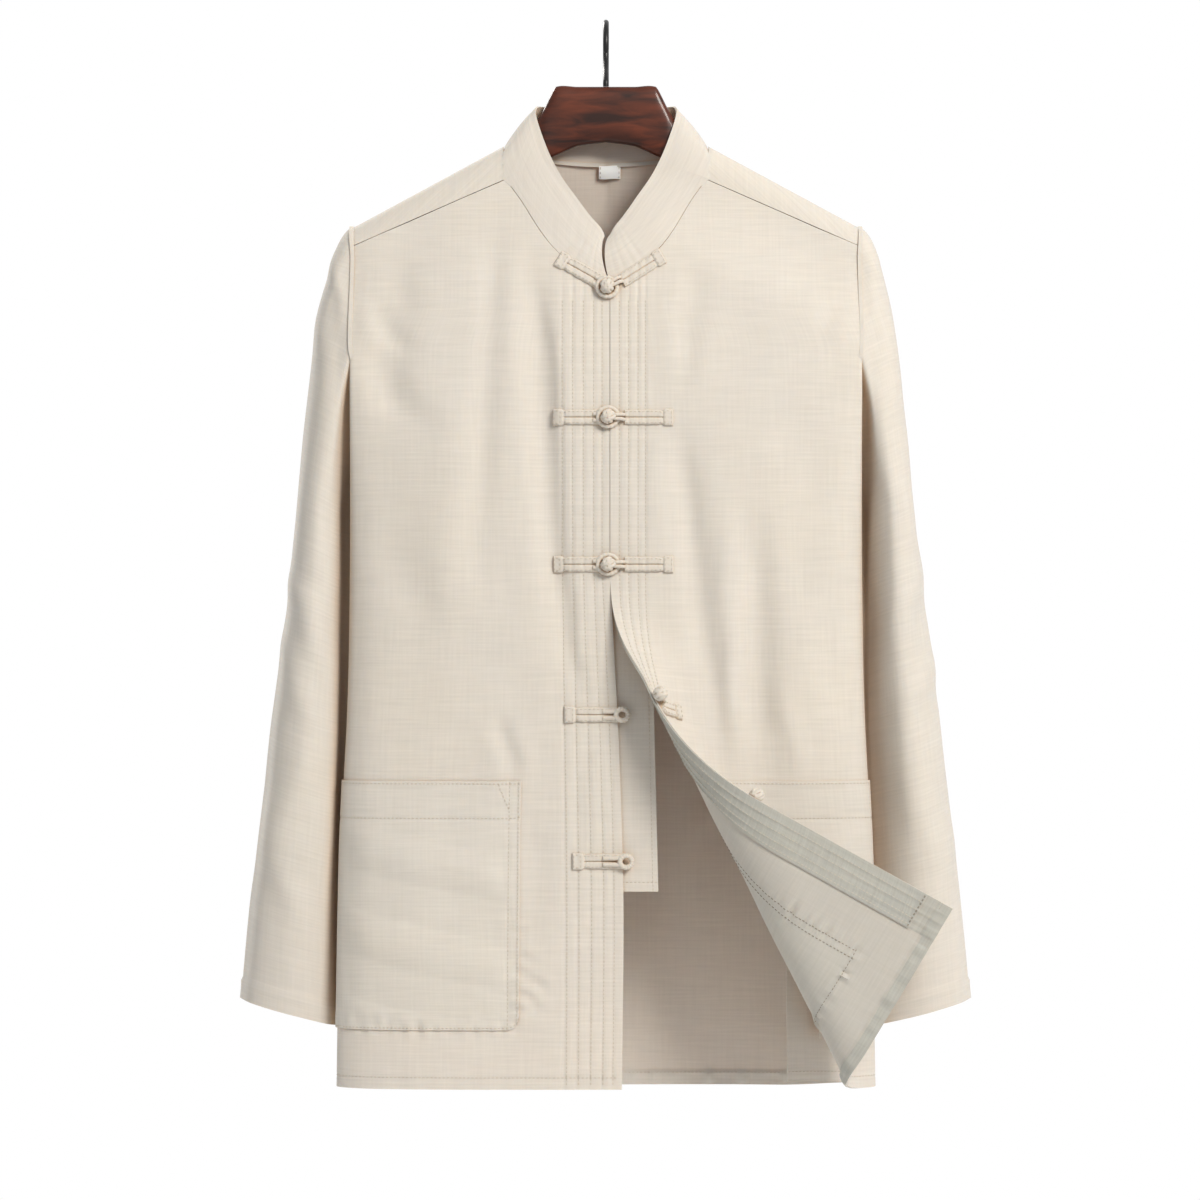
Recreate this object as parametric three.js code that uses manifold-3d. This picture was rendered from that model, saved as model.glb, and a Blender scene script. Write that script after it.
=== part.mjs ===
// A tai chi shirt with a stand collar and cord buttons, hanging on a wooden coat hanger, in millimetres.
// +X is the wearer's left, the front faces -Y and +Z is up. The origin is the hook's inner top.
// A face is -1 on the front and 1 on the back, and a side is -1 on the wearer's right and 1 on the left.
import * as THREE from "three";
import { mergeVertices } from "three/addons/utils/BufferGeometryUtils.js";
import Module from "manifold-3d";

const wasm = await Module();
wasm.setup();

// Driving sizes of the cloth and of the garment's cut
const WALL = 1.2;
const SEAM_GAP = 0.3;
const LAYER_GAP = 0.5;
const HEM_Z = -820;
const BACK_HEM_DROP = 8;
const UNDERARM_Z = -345;
const CAP_Z = -255;
const HALF_SHOULDER = 197;
const FRONT_EDGE_GAP = 0.4;
const FOLD_SHARE = 0.76;
const SHOULDER_FOLD = { share: 0.7, top: -215 };
const SEAM_ACROSS = 0.68;
const NECK_SIDE = 79;
const FRONT_NECK_SIDE_Z = -121;
const SHOULDER_SEAM_FALL = 0.44;

// The ridge of the shoulder over the hanger, and how the cloth rounds over it
const RIDGE_START_X = 92;
const RIDGE_START_Z = -100.5;
const RIDGE_FALL = 0.541;
const RIDGE_ROUND = 22;
const RIDGE_HALF_AT_NECK = 10;
const RIDGE_HALF_AT_TIP = 18;
const DRAPE_SETTLED = 100;

// Half width of the hanging body, and its depths before and behind the hanger
const BODY_WIDTH = [
  { z: -156, half: 197 },
  { z: -385, half: 197 },
  { z: -482, half: 198 },
  { z: -537, half: 199.5 },
  { z: -596, half: 202.5 },
  { z: -647, half: 204.5 },
  { z: -820, half: 207.5 },
];
const BODY_DEPTH = [
  { z: -100, front: 18, back: 36 },
  { z: -172, front: 30, back: 41 },
  { z: -203, front: 37, back: 44 },
  { z: -262, front: 46, back: 51 },
  { z: -330, front: 52, back: 56 },
  { z: -450, front: 57, back: 60 },
  { z: -600, front: 61, back: 62 },
  { z: -820, front: 65, back: 62 },
];

// Half of a section of the body, from the middle round the soft side fold to the side seam in its tuck:
// across and tuck give the width, full and edge the depth
const BODY_SECTION = [
  { share: 0, across: 0, tuck: 0, full: 1, edge: 0 },
  { share: 0.27, across: 0.37, tuck: 0, full: 1.01, edge: 0 },
  { share: 0.5, across: 0.7, tuck: 0, full: 0.93, edge: 0.07 },
  { share: 0.64, across: 0.885, tuck: 0, full: 0.69, edge: 0.31 },
  { share: 0.72, across: 0.975, tuck: 0, full: 0.33, edge: 0.67 },
  { share: 0.76, across: 1, tuck: 0, full: 0, edge: 1 },
  { share: 0.8, across: 1, tuck: 0.05, full: 0, edge: 0.72 },
  { share: 0.87, across: 1, tuck: 0.31, full: 0, edge: 0.44 },
  { share: 1, across: 1, tuck: 1, full: 0, edge: 0 },
];
// How deep the side fold lies, and how far out the back reaches beside the front
const SIDE_FOLD = [
  { z: -280, depth: 0.85, back_reach: 1 },
  { z: -400, depth: 0.55, back_reach: 0.95 },
  { z: -520, depth: 0.55, back_reach: 0.92 },
];

// The front neckline, and where the right front's edge hangs
const NECKLINE = [
  { x: 0, z: -203 },
  { x: 20, z: -194 },
  { x: 41, z: -174.5 },
  { x: 52, z: -160 },
  { x: 66, z: -137 },
  { x: 79, z: -119 },
];
const FRONT_EDGE = [
  { z: -420, right: 3, left: 3 },
  { z: -497, right: 7, left: 3.4 },
  { z: -556, right: 10, left: 4.6 },
  { z: -675, right: 13.5, left: 4.6 },
  { z: -820, right: 12.3, left: 4.6 },
];
const EDGE_SHIFT_SHARE = 0.3;
// The back's neck edge, by its drop behind the shoulder's ridge: below 0 it has come over to the front
const BACK_NECK = [
  { x: 0, drop: 54.3 },
  { x: 20, drop: 43.2 },
  { x: 40, drop: 31 },
  { x: 58, drop: 19.5 },
  { x: 70, drop: 11 },
  { x: 75, drop: 4.5 },
  { x: 76.5, drop: 0 },
  { x: 77.5, drop: -5 },
  { x: 78.3, drop: -13 },
];

// Soft hanging folds: a valley is above 0, a ridge below. x runs from its top to its foot.
const FOLDS = [
  { face: -1, top_x: -159, foot_x: -168, top: -165, foot: -335, width: 15, depth: 4 },
  { face: -1, top_x: -84, foot_x: -99, top: -125, foot: -450, width: 11, depth: 3.5 },
  { face: -1, top_x: -60, foot_x: -30, top: -155, foot: -560, width: 11, depth: 7 },
  { face: -1, top_x: -112, foot_x: -128, top: -230, foot: -560, width: 18, depth: -3 },
  { face: -1, top_x: 70, foot_x: 66, top: -180, foot: -270, width: 11, depth: 2.5 },
  { face: -1, top_x: 54, foot_x: 82, top: -290, foot: -550, width: 11, depth: 5 },
  { face: -1, top_x: 115, foot_x: 118, top: -360, foot: -610, width: 14, depth: 7 },
  { face: -1, top_x: 92, foot_x: 99, top: -350, foot: -600, width: 11, depth: -3 },
  { face: 1, top_x: -118, foot_x: -104, top: -190, foot: -640, width: 16, depth: 6 },
  { face: 1, top_x: -70, foot_x: -62, top: -260, foot: -830, width: 18, depth: 4 },
  { face: 1, top_x: -12, foot_x: 6, top: -150, foot: -520, width: 20, depth: 4 },
  { face: 1, top_x: 58, foot_x: 70, top: -230, foot: -760, width: 17, depth: 6 },
  { face: 1, top_x: 122, foot_x: 112, top: -200, foot: -480, width: 15, depth: 5 },
];

// The turned-back left front: a cone whose tip lies past the hem
const PEEL = {
  tipX: 267.6,
  tipZ: -981.2,
  startAngle: THREE.MathUtils.degToRad(110.5),
  coneAngle: THREE.MathUtils.degToRad(6.07),
  wrap: THREE.MathUtils.degToRad(180.6),
  flatten: 0.72,
  startZ: -425,
  fullZ: -520,
};

// Lines of the panels' grids: across as a share of the half body, and down
const FACING_COLUMN = 0.114;
const POCKET_COLUMN = 0.237;
const SHOULDER_COLUMNS = [0.319, 0.385, 0.45, 0.515, 0.575, 0.63];
const FOLD_COLUMNS = [FOLD_SHARE, 0.82, 0.88, 0.94, 1];
const FRONT_COLUMNS = [
  ...[0, 0.057, FACING_COLUMN, 0.171, POCKET_COLUMN],
  ...SHOULDER_COLUMNS,
  ...[0.68, 0.72],
  ...FOLD_COLUMNS,
];
const BACK_SHOULDER_COLUMNS = [...SHOULDER_COLUMNS, 0.7, ...FOLD_COLUMNS];
const POCKET_TOP_Z = -584.5;
const POCKET_FOOT_Z = -774.7;
const HEM_FOLD_Z = -798;
const CAP_ROWS = 9;
const SHOULDER_DROPS = [-22, -12, -4.5, 0, 4.5, 12, 25];
const BACK_CAP_ROWS = 6;

// The sleeves: where their outer edge and tail lie, and their half depths
const SLEEVE_LINE = [
  { z: -375, outer: 239.5, tail: 172, front: 43, back: 51 },
  { z: -446, outer: 247, tail: 171, front: 45, back: 53 },
  { z: -523, outer: 257, tail: 170, front: 43, back: 50 },
  { z: -600, outer: 266, tail: 169, front: 40, back: 45 },
  { z: -676, outer: 275, tail: 168, front: 36, back: 38 },
  { z: -755, outer: 282, tail: 167, front: 29, back: 30 },
];
// Where each sleeve rolls under beside the body, and how deep it sinks there
const SLEEVE_ROLL = [
  { z: -375, right: 209.5, right_sink: 0.78, left: 206, left_sink: 0.6 },
  { z: -446, right: 210, right_sink: 0.78, left: 205, left_sink: 0.42 },
  { z: -523, right: 211, right_sink: 0.78, left: 206, left_sink: 0.4 },
  { z: -600, right: 213, right_sink: 0.78, left: 210, left_sink: 0.4 },
  { z: -676, right: 216, right_sink: 0.78, left: 214, left_sink: 0.5 },
  { z: -755, right: 216, right_sink: 0.78, left: 218, left_sink: 0.7 },
];
const SLEEVE_TOP_Z = -375;
const CUFF_Z = -755;
const CUFF_TILT = 0.275;
// Half a sleeve's section from its outer edge to its tail: out runs from the roll to the outer edge, and into
// from the tail to the roll
const SLEEVE_FRONT = [
  { share: 0, out: 1, into: 1, depth: 0, sink: 0 },
  { share: 0.2, out: 0.82, into: 1, depth: 0.72, sink: 0 },
  { share: 0.38, out: 0.42, into: 1, depth: 1, sink: 0 },
  { share: 0.54, out: 0, into: 1, depth: 0, sink: 1 },
  { share: 0.72, out: 0, into: 0.78, depth: 0.2, sink: 0 },
  { share: 1, out: 0, into: 0, depth: -0.06, sink: 0 },
];
const SLEEVE_BACK = [
  { share: 0, out: 1, into: 1, depth: 0, sink: 0 },
  { share: 0.22, out: 0.84, into: 1, depth: 0.7, sink: 0 },
  { share: 0.42, out: 0.4, into: 1, depth: 1, sink: 0 },
  { share: 0.6, out: 0, into: 0.85, depth: 0.8, sink: 0 },
  { share: 0.78, out: 0, into: 0.42, depth: 0.34, sink: 0 },
  { share: 1, out: 0, into: 0, depth: 0.06, sink: 0 },
];
// How the sleeve leaves the armhole, by share from the shoulder tip to the underarm
const SLEEVE_CAP = [
  { share: 0, x: 25, y: 0, z: -9 },
  { share: 0.25, x: 18, y: 8, z: -30 },
  { share: 0.45, x: 12, y: 3, z: -38 },
  { share: 0.7, x: 12, y: -7, z: -32 },
  { share: 1, x: 20, y: 0, z: -18 },
];
// How far a sleeve's start stands off the body: across, across at the underarm, and down there
const ARMHOLE_STEP = { across: 1.2, under: 1.8, down: 1.6 };
const SLEEVE_CAP_ROWS = 6;
const SLEEVE_ROWS = 11;

// The collar's upper edge, by share of the way from the front middle to the back middle
const COLLAR_TOP = [
  { share: 0, x: 1.6, y: -25, z: -165 },
  { share: 0.09, x: 5.5, y: -25, z: -158 },
  { share: 0.2, x: 13, y: -23, z: -149 },
  { share: 0.32, x: 23, y: -20, z: -135 },
  { share: 0.44, x: 36, y: -16, z: -116 },
  { share: 0.54, x: 46.5, y: -13, z: -94 },
  { share: 0.63, x: 55, y: -1, z: -66 },
  { share: 0.74, x: 47, y: 10, z: -62 },
  { share: 0.87, x: 25, y: 15.5, z: -61.5 },
  { share: 1, x: 0, y: 18.5, z: -62 },
];
const COLLAR_ROWS = 3;
// How far the collar stands off the neck edges: more at the sides, between two shares
const COLLAR_LIFT = { plain: 0.5, side: 1.6, from: 0.4, to: 0.72, blend: 0.08 };

// The inner strip behind the opening
const STRIP = { hiddenX: -26, topZ: -216, footZ: -669, topX: 29, footX: 40, sink: 1.7, columns: 4, rows: 12 };

// The cord buttons: their heights, and their bars as places on the front
const KNOT_RADIUS = 5.5;
const LOOP_RADIUS = 7.6;
const LOOP_CORD_RADIUS = 1.6;
const BAR_HALF_WIDTH = 5.7;
const BAR_THICKNESS = 2.4;
const BAR_LIFT = 0.9;
const LEFT_BAR_LIFT = 0.5;
const RING_REST = 0.4;
const BAR_CELLS = 5;
const KNOT_TO_BAR = 10.6;
const LOOP_TO_BAR = 7.4;
// How much more steeply a sloping bar runs on the curved cloth than in a flat view
const BAR_STEEPER = 1.4;
const NORMAL_REACH = 3;
// The loop's two cords to its bar, and the knot's stem that passes over the loop and steps down to its bar
const LOOP_NECK = { width: 6.4, thickness: 2, overlap: 2 };
const KNOT_STEM = { from: 1.4, width: 4.4, thickness: 2, over_loop: 0.5 };
const KNOT_RISER = { at: 11.7, length: 2.6, above_lift: 0.6 };
const FROGS = [
  { name: "1", z: -206, centre: 0.8, right_bar: -38, left_bar: 43, bar_rise: 22, worn_open: false },
  { name: "2", z: -306, centre: 1.5, right_bar: -41, left_bar: 51, bar_rise: 0, worn_open: false },
  { name: "3", z: -418.8, centre: 1.5, right_bar: -41, left_bar: 51, bar_rise: 0, worn_open: false },
  { name: "4", z: -533.8, centre: 11.5, right_bar: -35, left_bar: 51, bar_rise: 0, worn_open: true },
  { name: "5", z: -645.8, centre: 14.5, right_bar: -31, left_bar: 51, bar_rise: 0, worn_open: true },
];
const OPEN_KNOT_CENTRE = 1.5;
const OPEN_BAR_START = 1;

// The wooden hanger's outline and thickness, and its hook
const HANGER_LINE = [
  { x: 0, top: -47.5, foot: -90.5, half: 6.6 },
  { x: 22, top: -47.5, foot: -93.5, half: 6.6 },
  { x: 39, top: -47.5, foot: -101, half: 6.6 },
  { x: 48, top: -64.5, foot: -105, half: 6.6 },
  { x: 52, top: -71.5, foot: -107, half: 5.8 },
  { x: 58, top: -87, foot: -110, half: 6 },
  { x: 66, top: -98, foot: -116, half: 6.6 },
  { x: 76, top: -106, foot: -122, half: 7 },
  { x: 92, top: -112, foot: -130, half: 8 },
  { x: 130, top: -131, foot: -150, half: 10 },
  { x: 170, top: -152, foot: -170, half: 11.5 },
  { x: 186, top: -161, foot: -177, half: 10.5 },
  { x: 190, top: -165, foot: -174, half: 6.5 },
];
const HANGER_CORNERS = 10;
const HANGER_SQUARENESS = 0.6;
const HOOK_WIRE_RADIUS = 2.3;
const HOOK_RADIUS = 19;
const HOOK_CENTRE_Z = HOOK_WIRE_RADIUS - HOOK_RADIUS;
const HOOK_STEPS = 30;
const HOOK_SIDES = 8;
// The wire's way from the wood to the crook, and the crook's angles
const HOOK_SHANK = [
  { y: 0.2, z: -43.5 },
  { y: 4.5, z: -38.5 },
  { y: 12, z: -31.5 },
];
const HOOK_ANGLES = [-20, 10, 40, 65, 90, 115, 140, 170, 200];

// The small label inside the back neck
const LABEL = { centreX: 3, halfWidth: 8.4, topZ: -107, footZ: -117, thickness: 1, gap: 2.8 };

const mix = THREE.MathUtils.lerp;

function smooth(value, start, end) {
  const t = THREE.MathUtils.clamp((value - start) / (end - start), 0, 1);
  return t * t * (3 - 2 * t);
}

// A smooth curve through the rows of a table: a column as a function of its key, level past both ends
function follow(rows, key, column, value) {
  const last = rows.length - 1;
  const sign = Math.sign(rows[last][key] - rows[0][key]);
  const place = (i) => sign * rows[i][key];
  const wanted = sign * value;
  if (wanted <= place(0)) return rows[0][column];
  if (wanted >= place(last)) return rows[last][column];
  let i = 0;
  while (wanted > place(i + 1)) i += 1;
  const slope = (j) => {
    const before = Math.max(j - 1, 0);
    const after = Math.min(j + 1, last);
    return (rows[after][column] - rows[before][column]) / (place(after) - place(before));
  };
  const span = place(i + 1) - place(i);
  const t = (wanted - place(i)) / span;
  const fromStart = 1 - t * t * (3 - 2 * t);
  const startPull = t * (1 - t) * (1 - t) * span * slope(i);
  const endPull = t * t * (t - 1) * span * slope(i + 1);
  return fromStart * rows[i][column] + (1 - fromStart) * rows[i + 1][column] + startPull + endPull;
}

// Equal steps from one value to another, the first left out
function steps(from, to, count) {
  return Array.from({ length: count }, (_, i) => mix(from, to, (i + 1) / count));
}

function material(color, roughness, metalness = 0) {
  return new THREE.MeshStandardMaterial({ color, roughness, metalness });
}
const linen = material(0xdcd3c2, 0.9);
const cordCloth = material(0xd5ccba, 0.85);
const labelCloth = material(0xeeeae0, 0.8);
const varnishedWood = material(0x4a1d10, 0.35);
const blackWire = material(0x1a1a1c, 0.4, 0.8);

const shirt = new THREE.Group();
function addPiece(name, geometry, finish) {
  const mesh = new THREE.Mesh(geometry, finish.clone());
  mesh.name = name;
  shirt.add(mesh);
}

// Average outward directions at the points of a grid, whose rows may close on themselves
function gridNormals(grid, closed, flip) {
  const rows = grid.length;
  const columns = grid[0].length;
  return grid.map((line, i) =>
    line.map((_, j) => {
      const before = closed ? (j + columns - 1) % columns : Math.max(j - 1, 0);
      const after = closed ? (j + 1) % columns : Math.min(j + 1, columns - 1);
      const across = grid[i][after].clone().sub(grid[i][before]);
      const down = grid[Math.min(i + 1, rows - 1)][j].clone().sub(grid[Math.max(i - 1, 0)][j]);
      const normal = across.cross(down).normalize();
      return flip ? normal : normal.negate();
    }),
  );
}

// Points moved along their normals
function lifted(grid, normals, distance) {
  return grid.map((line, i) => line.map((p, j) => p.clone().addScaledVector(normals[i][j], distance)));
}

// A closed wall between two grids of the same size: their faces, and the rims that join them
function wallBetween(outside, inside, closed, flip) {
  const rows = outside.length;
  const columns = outside[0].length;
  const positions = [outside, inside].flat(2).flatMap((p) => p.toArray());
  const index = (layer, i, j) => (layer * rows + i) * columns + (j % columns);
  const faces = [];
  const quad = (a, b, c, d) => {
    if (flip) faces.push(a, c, b, a, d, c);
    else faces.push(a, b, c, a, c, d);
  };
  const spans = closed ? columns : columns - 1;
  for (let i = 0; i < rows - 1; i += 1) {
    for (let j = 0; j < spans; j += 1) {
      quad(index(0, i, j), index(0, i, j + 1), index(0, i + 1, j + 1), index(0, i + 1, j));
      quad(index(1, i, j), index(1, i + 1, j), index(1, i + 1, j + 1), index(1, i, j + 1));
    }
    if (closed) continue;
    quad(index(0, i, 0), index(0, i + 1, 0), index(1, i + 1, 0), index(1, i, 0));
    quad(index(0, i, spans), index(1, i, spans), index(1, i + 1, spans), index(0, i + 1, spans));
  }
  for (let j = 0; j < spans; j += 1) {
    quad(index(0, 0, j), index(1, 0, j), index(1, 0, j + 1), index(0, 0, j + 1));
    quad(index(0, rows - 1, j), index(0, rows - 1, j + 1), index(1, rows - 1, j + 1), index(1, rows - 1, j));
  }
  const geometry = new THREE.BufferGeometry();
  geometry.setAttribute("position", new THREE.Float32BufferAttribute(positions, 3));
  geometry.setIndex(faces);
  return geometry;
}

// A cloth wall whose outer face is the grid
function clothWall(grid, normals, closed, flip) {
  return wallBetween(grid, lifted(grid, normals, -WALL), closed, !flip);
}

function solidOf(geometry) {
  const bare = geometry.clone();
  bare.deleteAttribute("normal");
  bare.deleteAttribute("uv");
  const merged = mergeVertices(bare, 1e-4);
  return new wasm.Manifold(
    new wasm.Mesh({
      numProp: 3,
      vertProperties: new Float32Array(merged.attributes.position.array),
      triVerts: new Uint32Array(merged.index.array),
    }),
  );
}

// Several closed shapes made one
function joined(geometries) {
  const mesh = geometries
    .map(solidOf)
    .reduce((whole, next) => whole.add(next))
    .getMesh();
  const geometry = new THREE.BufferGeometry();
  geometry.setAttribute("position", new THREE.BufferAttribute(mesh.vertProperties, 3));
  geometry.setIndex(new THREE.BufferAttribute(mesh.triVerts, 1));
  return geometry;
}

function ridgeZ(x) {
  return RIDGE_START_Z - RIDGE_FALL * (x - RIDGE_START_X);
}

// How deep the hanging folds press the cloth in at a place
function foldDepth(face, x, z) {
  let depth = 0;
  for (const fold of FOLDS) {
    if (fold.face !== face) continue;
    const t = (fold.top - z) / (fold.top - fold.foot);
    if (t <= 0 || t >= 1) continue;
    const middle = mix(fold.top_x, fold.foot_x, t);
    const across = (x - middle) / fold.width;
    depth += fold.depth * Math.exp(-across * across) * smooth(t, 0, 0.3) * (1 - smooth(t, 0.6, 1));
  }
  return depth;
}

// A point of the body's cloth, by its share of the way from the middle to the side seam, and its height
function bodyPoint(face, side, share, z) {
  const half = follow(BODY_WIDTH, "z", "half", z);
  const depth = follow(BODY_DEPTH, "z", face < 0 ? "front" : "back", z);
  const reach = face < 0 ? 1 : follow(SIDE_FOLD, "z", "back_reach", z);
  const edgeDepth = follow(SIDE_FOLD, "z", "depth", z);
  const section = BODY_SECTION.map((row) => ({
    share: row.share,
    x: half * mix(reach * row.across, SEAM_ACROSS, row.tuck),
    y: depth * (row.full + edgeDepth * row.edge),
  }));
  const x = follow(section, "share", "x", share);
  const y = follow(section, "share", "y", share);
  const drop = Math.max(ridgeZ(x) - z, 0);
  const overHanger = mix(RIDGE_HALF_AT_NECK, RIDGE_HALF_AT_TIP, x / HALF_SHOULDER);
  const round = Math.sqrt(1 - (1 - Math.min(drop / RIDGE_ROUND, 1)) ** 2);
  const away = overHanger * round + (y - overHanger) * smooth(drop, 0, DRAPE_SETTLED);
  return new THREE.Vector3(side * x, face * Math.max(away, SEAM_GAP / 2), z);
}

// Where a panel's fold column and its edge lie on the section at a height: the edge is the armhole above, and
// the side seam below
function columnEnds(z) {
  const fold = mix(SHOULDER_FOLD.share, FOLD_SHARE, smooth(z, SHOULDER_FOLD.top, CAP_Z));
  const edge = mix(FOLD_SHARE, 1, smooth(z, CAP_Z, UNDERARM_Z));
  return { fold, edge };
}

// The share of the section at a panel's grid line u
function shareAt(u, z) {
  const { fold, edge } = columnEnds(z);
  return u <= FOLD_SHARE ? (u * fold) / FOLD_SHARE : mix(fold, edge, (u - FOLD_SHARE) / (1 - FOLD_SHARE));
}

// The grid line u at a share before the side fold
function lineAt(share, z) {
  return (share * FOLD_SHARE) / columnEnds(z).fold;
}

function shareAcross(x) {
  return follow(BODY_SECTION.slice(0, 6), "across", "share", x / HALF_SHOULDER);
}

function shoulderX(u) {
  return HALF_SHOULDER * follow(BODY_SECTION.slice(0, 6), "share", "across", shareAt(u, 0));
}

// The forward shoulder seam, and the front's upper edge: neckline and shoulder seam
function shoulderSeamZ(x) {
  return FRONT_NECK_SIDE_Z - SHOULDER_SEAM_FALL * (x - NECK_SIDE);
}

function frontTopZ(x) {
  return x < NECK_SIDE - 0.5 ? follow(NECKLINE, "x", "z", x) : shoulderSeamZ(x) - SEAM_GAP;
}

// A point of a front panel before it is turned back
function frontPoint(side, u, z) {
  const share = shareAt(u, z);
  const p = bodyPoint(-1, side, share, z);
  const pull = Math.max(1 - share / EDGE_SHIFT_SHARE, 0) ** 2;
  const edge = follow(FRONT_EDGE, "z", side < 0 ? "right" : "left", z);
  p.x += pull * (edge + (side * FRONT_EDGE_GAP) / 2);
  const fade = 1 - smooth(share, FOLD_SHARE - 0.1, FOLD_SHARE);
  p.y += foldDepth(-1, p.x, z) * fade;
  return p;
}

// The left front turned back: the flat cloth rolls round a cone, and lies flat again past the roll
function peeled(p) {
  const away = new THREE.Vector3(p.x - PEEL.tipX, 0, p.z - PEEL.tipZ);
  const start = new THREE.Vector3(Math.cos(PEEL.startAngle), 0, Math.sin(PEEL.startAngle));
  const leftward = new THREE.Vector3(-Math.sin(PEEL.startAngle), 0, Math.cos(PEEL.startAngle));
  const reach = away.length();
  const turn = Math.atan2(away.dot(leftward), away.dot(start));
  const amount = smooth(p.z, PEEL.startZ, PEEL.fullZ);
  if (turn <= 0 || amount <= 0) return p;
  const forward = new THREE.Vector3(0, -1, 0);
  const sine = Math.sin(PEEL.coneAngle);
  const axis = start.clone().multiplyScalar(Math.cos(PEEL.coneAngle)).addScaledVector(forward, sine);
  const round = Math.min(turn / sine, PEEL.wrap);
  const sideways = leftward.clone().multiplyScalar(sine);
  const lying = axis.clone().multiplyScalar(axis.dot(start));
  const out = start
    .clone()
    .multiplyScalar(Math.cos(round))
    .addScaledVector(sideways, Math.sin(round))
    .addScaledVector(lying, 1 - Math.cos(round));
  const along = start
    .clone()
    .multiplyScalar(-Math.sin(round))
    .addScaledVector(sideways, Math.cos(round))
    .addScaledVector(lying, Math.sin(round))
    .normalize();
  const rest = Math.max(turn - PEEL.wrap * sine, 0);
  const rolled = out.multiplyScalar(reach * Math.cos(rest)).addScaledVector(along, reach * Math.sin(rest));
  const target = new THREE.Vector3(PEEL.tipX + rolled.x, p.y + PEEL.flatten * rolled.y, PEEL.tipZ + rolled.z);
  return p.clone().lerp(target, amount);
}

function wornFrontPoint(side, u, z) {
  const p = frontPoint(side, u, z);
  return side > 0 ? peeled(p) : p;
}

// The front panels' grid of points, one row for each height
const BODY_ROWS = [
  ...steps(UNDERARM_Z, POCKET_TOP_Z, 7),
  ...steps(POCKET_TOP_Z, POCKET_FOOT_Z, 6),
  HEM_FOLD_Z,
  HEM_Z,
];
function frontGrid(side) {
  const heights = FRONT_COLUMNS.map((u) => {
    const top = frontTopZ(shoulderX(u));
    return [top, ...steps(top, UNDERARM_Z, CAP_ROWS), ...BODY_ROWS];
  });
  return heights[0].map((_, row) => FRONT_COLUMNS.map((u, j) => wornFrontPoint(side, u, heights[j][row])));
}

// A height on the back by its drop from the shoulder's ridge: a drop below 0 lies before the ridge
function backPoint(side, u, drop) {
  const face = drop < 0 ? -1 : 1;
  const z = ridgeZ(shoulderX(u)) - Math.abs(drop);
  const share = shareAt(u, z);
  const p = bodyPoint(face, side, share, z);
  const fade = 1 - smooth(share, FOLD_SHARE - 0.1, FOLD_SHARE);
  if (face > 0) p.y -= foldDepth(1, p.x, z) * fade;
  return p;
}

function backDrops(u) {
  const x = shoulderX(u);
  const ridge = ridgeZ(x);
  const last = SHOULDER_DROPS.length - 1;
  const first = SHOULDER_DROPS[0];
  const under = ridge - UNDERARM_Z;
  let upper;
  if (x > NECK_SIDE - 0.5) {
    const seam = ridge - shoulderSeamZ(x) - SEAM_GAP;
    upper = SHOULDER_DROPS.map((drop) => (drop < 0 ? (drop * seam) / -first : drop));
  } else {
    const neck = follow(BACK_NECK, "x", "drop", x);
    const scale = (under - neck) / (under - first);
    upper = SHOULDER_DROPS.map((drop) => neck + (drop - first) * scale);
  }
  const lower = BODY_ROWS.map((z) => ridge - z + (z === HEM_Z ? BACK_HEM_DROP * (1 - smooth(u, 0.5, 1)) : 0));
  return [...upper, ...steps(upper[last], under, BACK_CAP_ROWS), ...lower];
}

function backGrid() {
  const half = [...BACK_NECK.map((row) => lineAt(shareAcross(row.x), 0)), ...BACK_SHOULDER_COLUMNS];
  const across = [...half.slice(1).reverse().map((u) => -u), ...half];
  const drops = across.map((u) => backDrops(Math.abs(u)));
  return drops[0].map((_, row) =>
    across.map((u, j) => backPoint(u < 0 ? -1 : 1, Math.abs(u), drops[j][row])),
  );
}

// Body panels
const panels = {};
for (const [name, side] of [
  ["right_front", -1],
  ["left_front", 1],
]) {
  const grid = frontGrid(side);
  const flip = side < 0;
  const normals = gridNormals(grid, false, flip);
  panels[name] = { grid, normals, flip };
  addPiece(name, clothWall(grid, normals, false, flip), linen);
}
const backPanel = backGrid();
const backNormals = gridNormals(backPanel, false, true);
addPiece("back", clothWall(backPanel, backNormals, false, true), linen);

// A layer on a panel: a block of its grid moved out, or in
function layer(panel, rows, columns, from, to) {
  const [top, foot] = rows;
  const [first, last] = columns;
  const pick = (grid) => grid.slice(top, foot + 1).map((line) => line.slice(first, last + 1));
  const base = pick(panel.grid);
  const normals = pick(panel.normals);
  return wallBetween(lifted(base, normals, to), lifted(base, normals, from), false, !panel.flip);
}
const rowAt = (z) => CAP_ROWS + 1 + BODY_ROWS.indexOf(z);
const columnAt = (u) => FRONT_COLUMNS.indexOf(u);
const pocketRows = [rowAt(POCKET_TOP_Z), rowAt(POCKET_FOOT_Z)];
const pocketColumns = [columnAt(POCKET_COLUMN), columnAt(FOLD_SHARE)];
for (const side of ["right", "left"]) {
  const pocket = layer(panels[side + "_front"], pocketRows, pocketColumns, LAYER_GAP, LAYER_GAP + WALL);
  addPiece(side + "_pocket", pocket, linen);
}
const FACING_TOP_ROW = CAP_ROWS + 3;
const facingRows = [FACING_TOP_ROW, rowAt(HEM_FOLD_Z)];
const facingInside = -WALL - LAYER_GAP;
const facingColumns = [0, columnAt(FACING_COLUMN)];
const facing = layer(panels.left_front, facingRows, facingColumns, facingInside - WALL, facingInside);
addPiece("left_facing", facing, linen);

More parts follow.
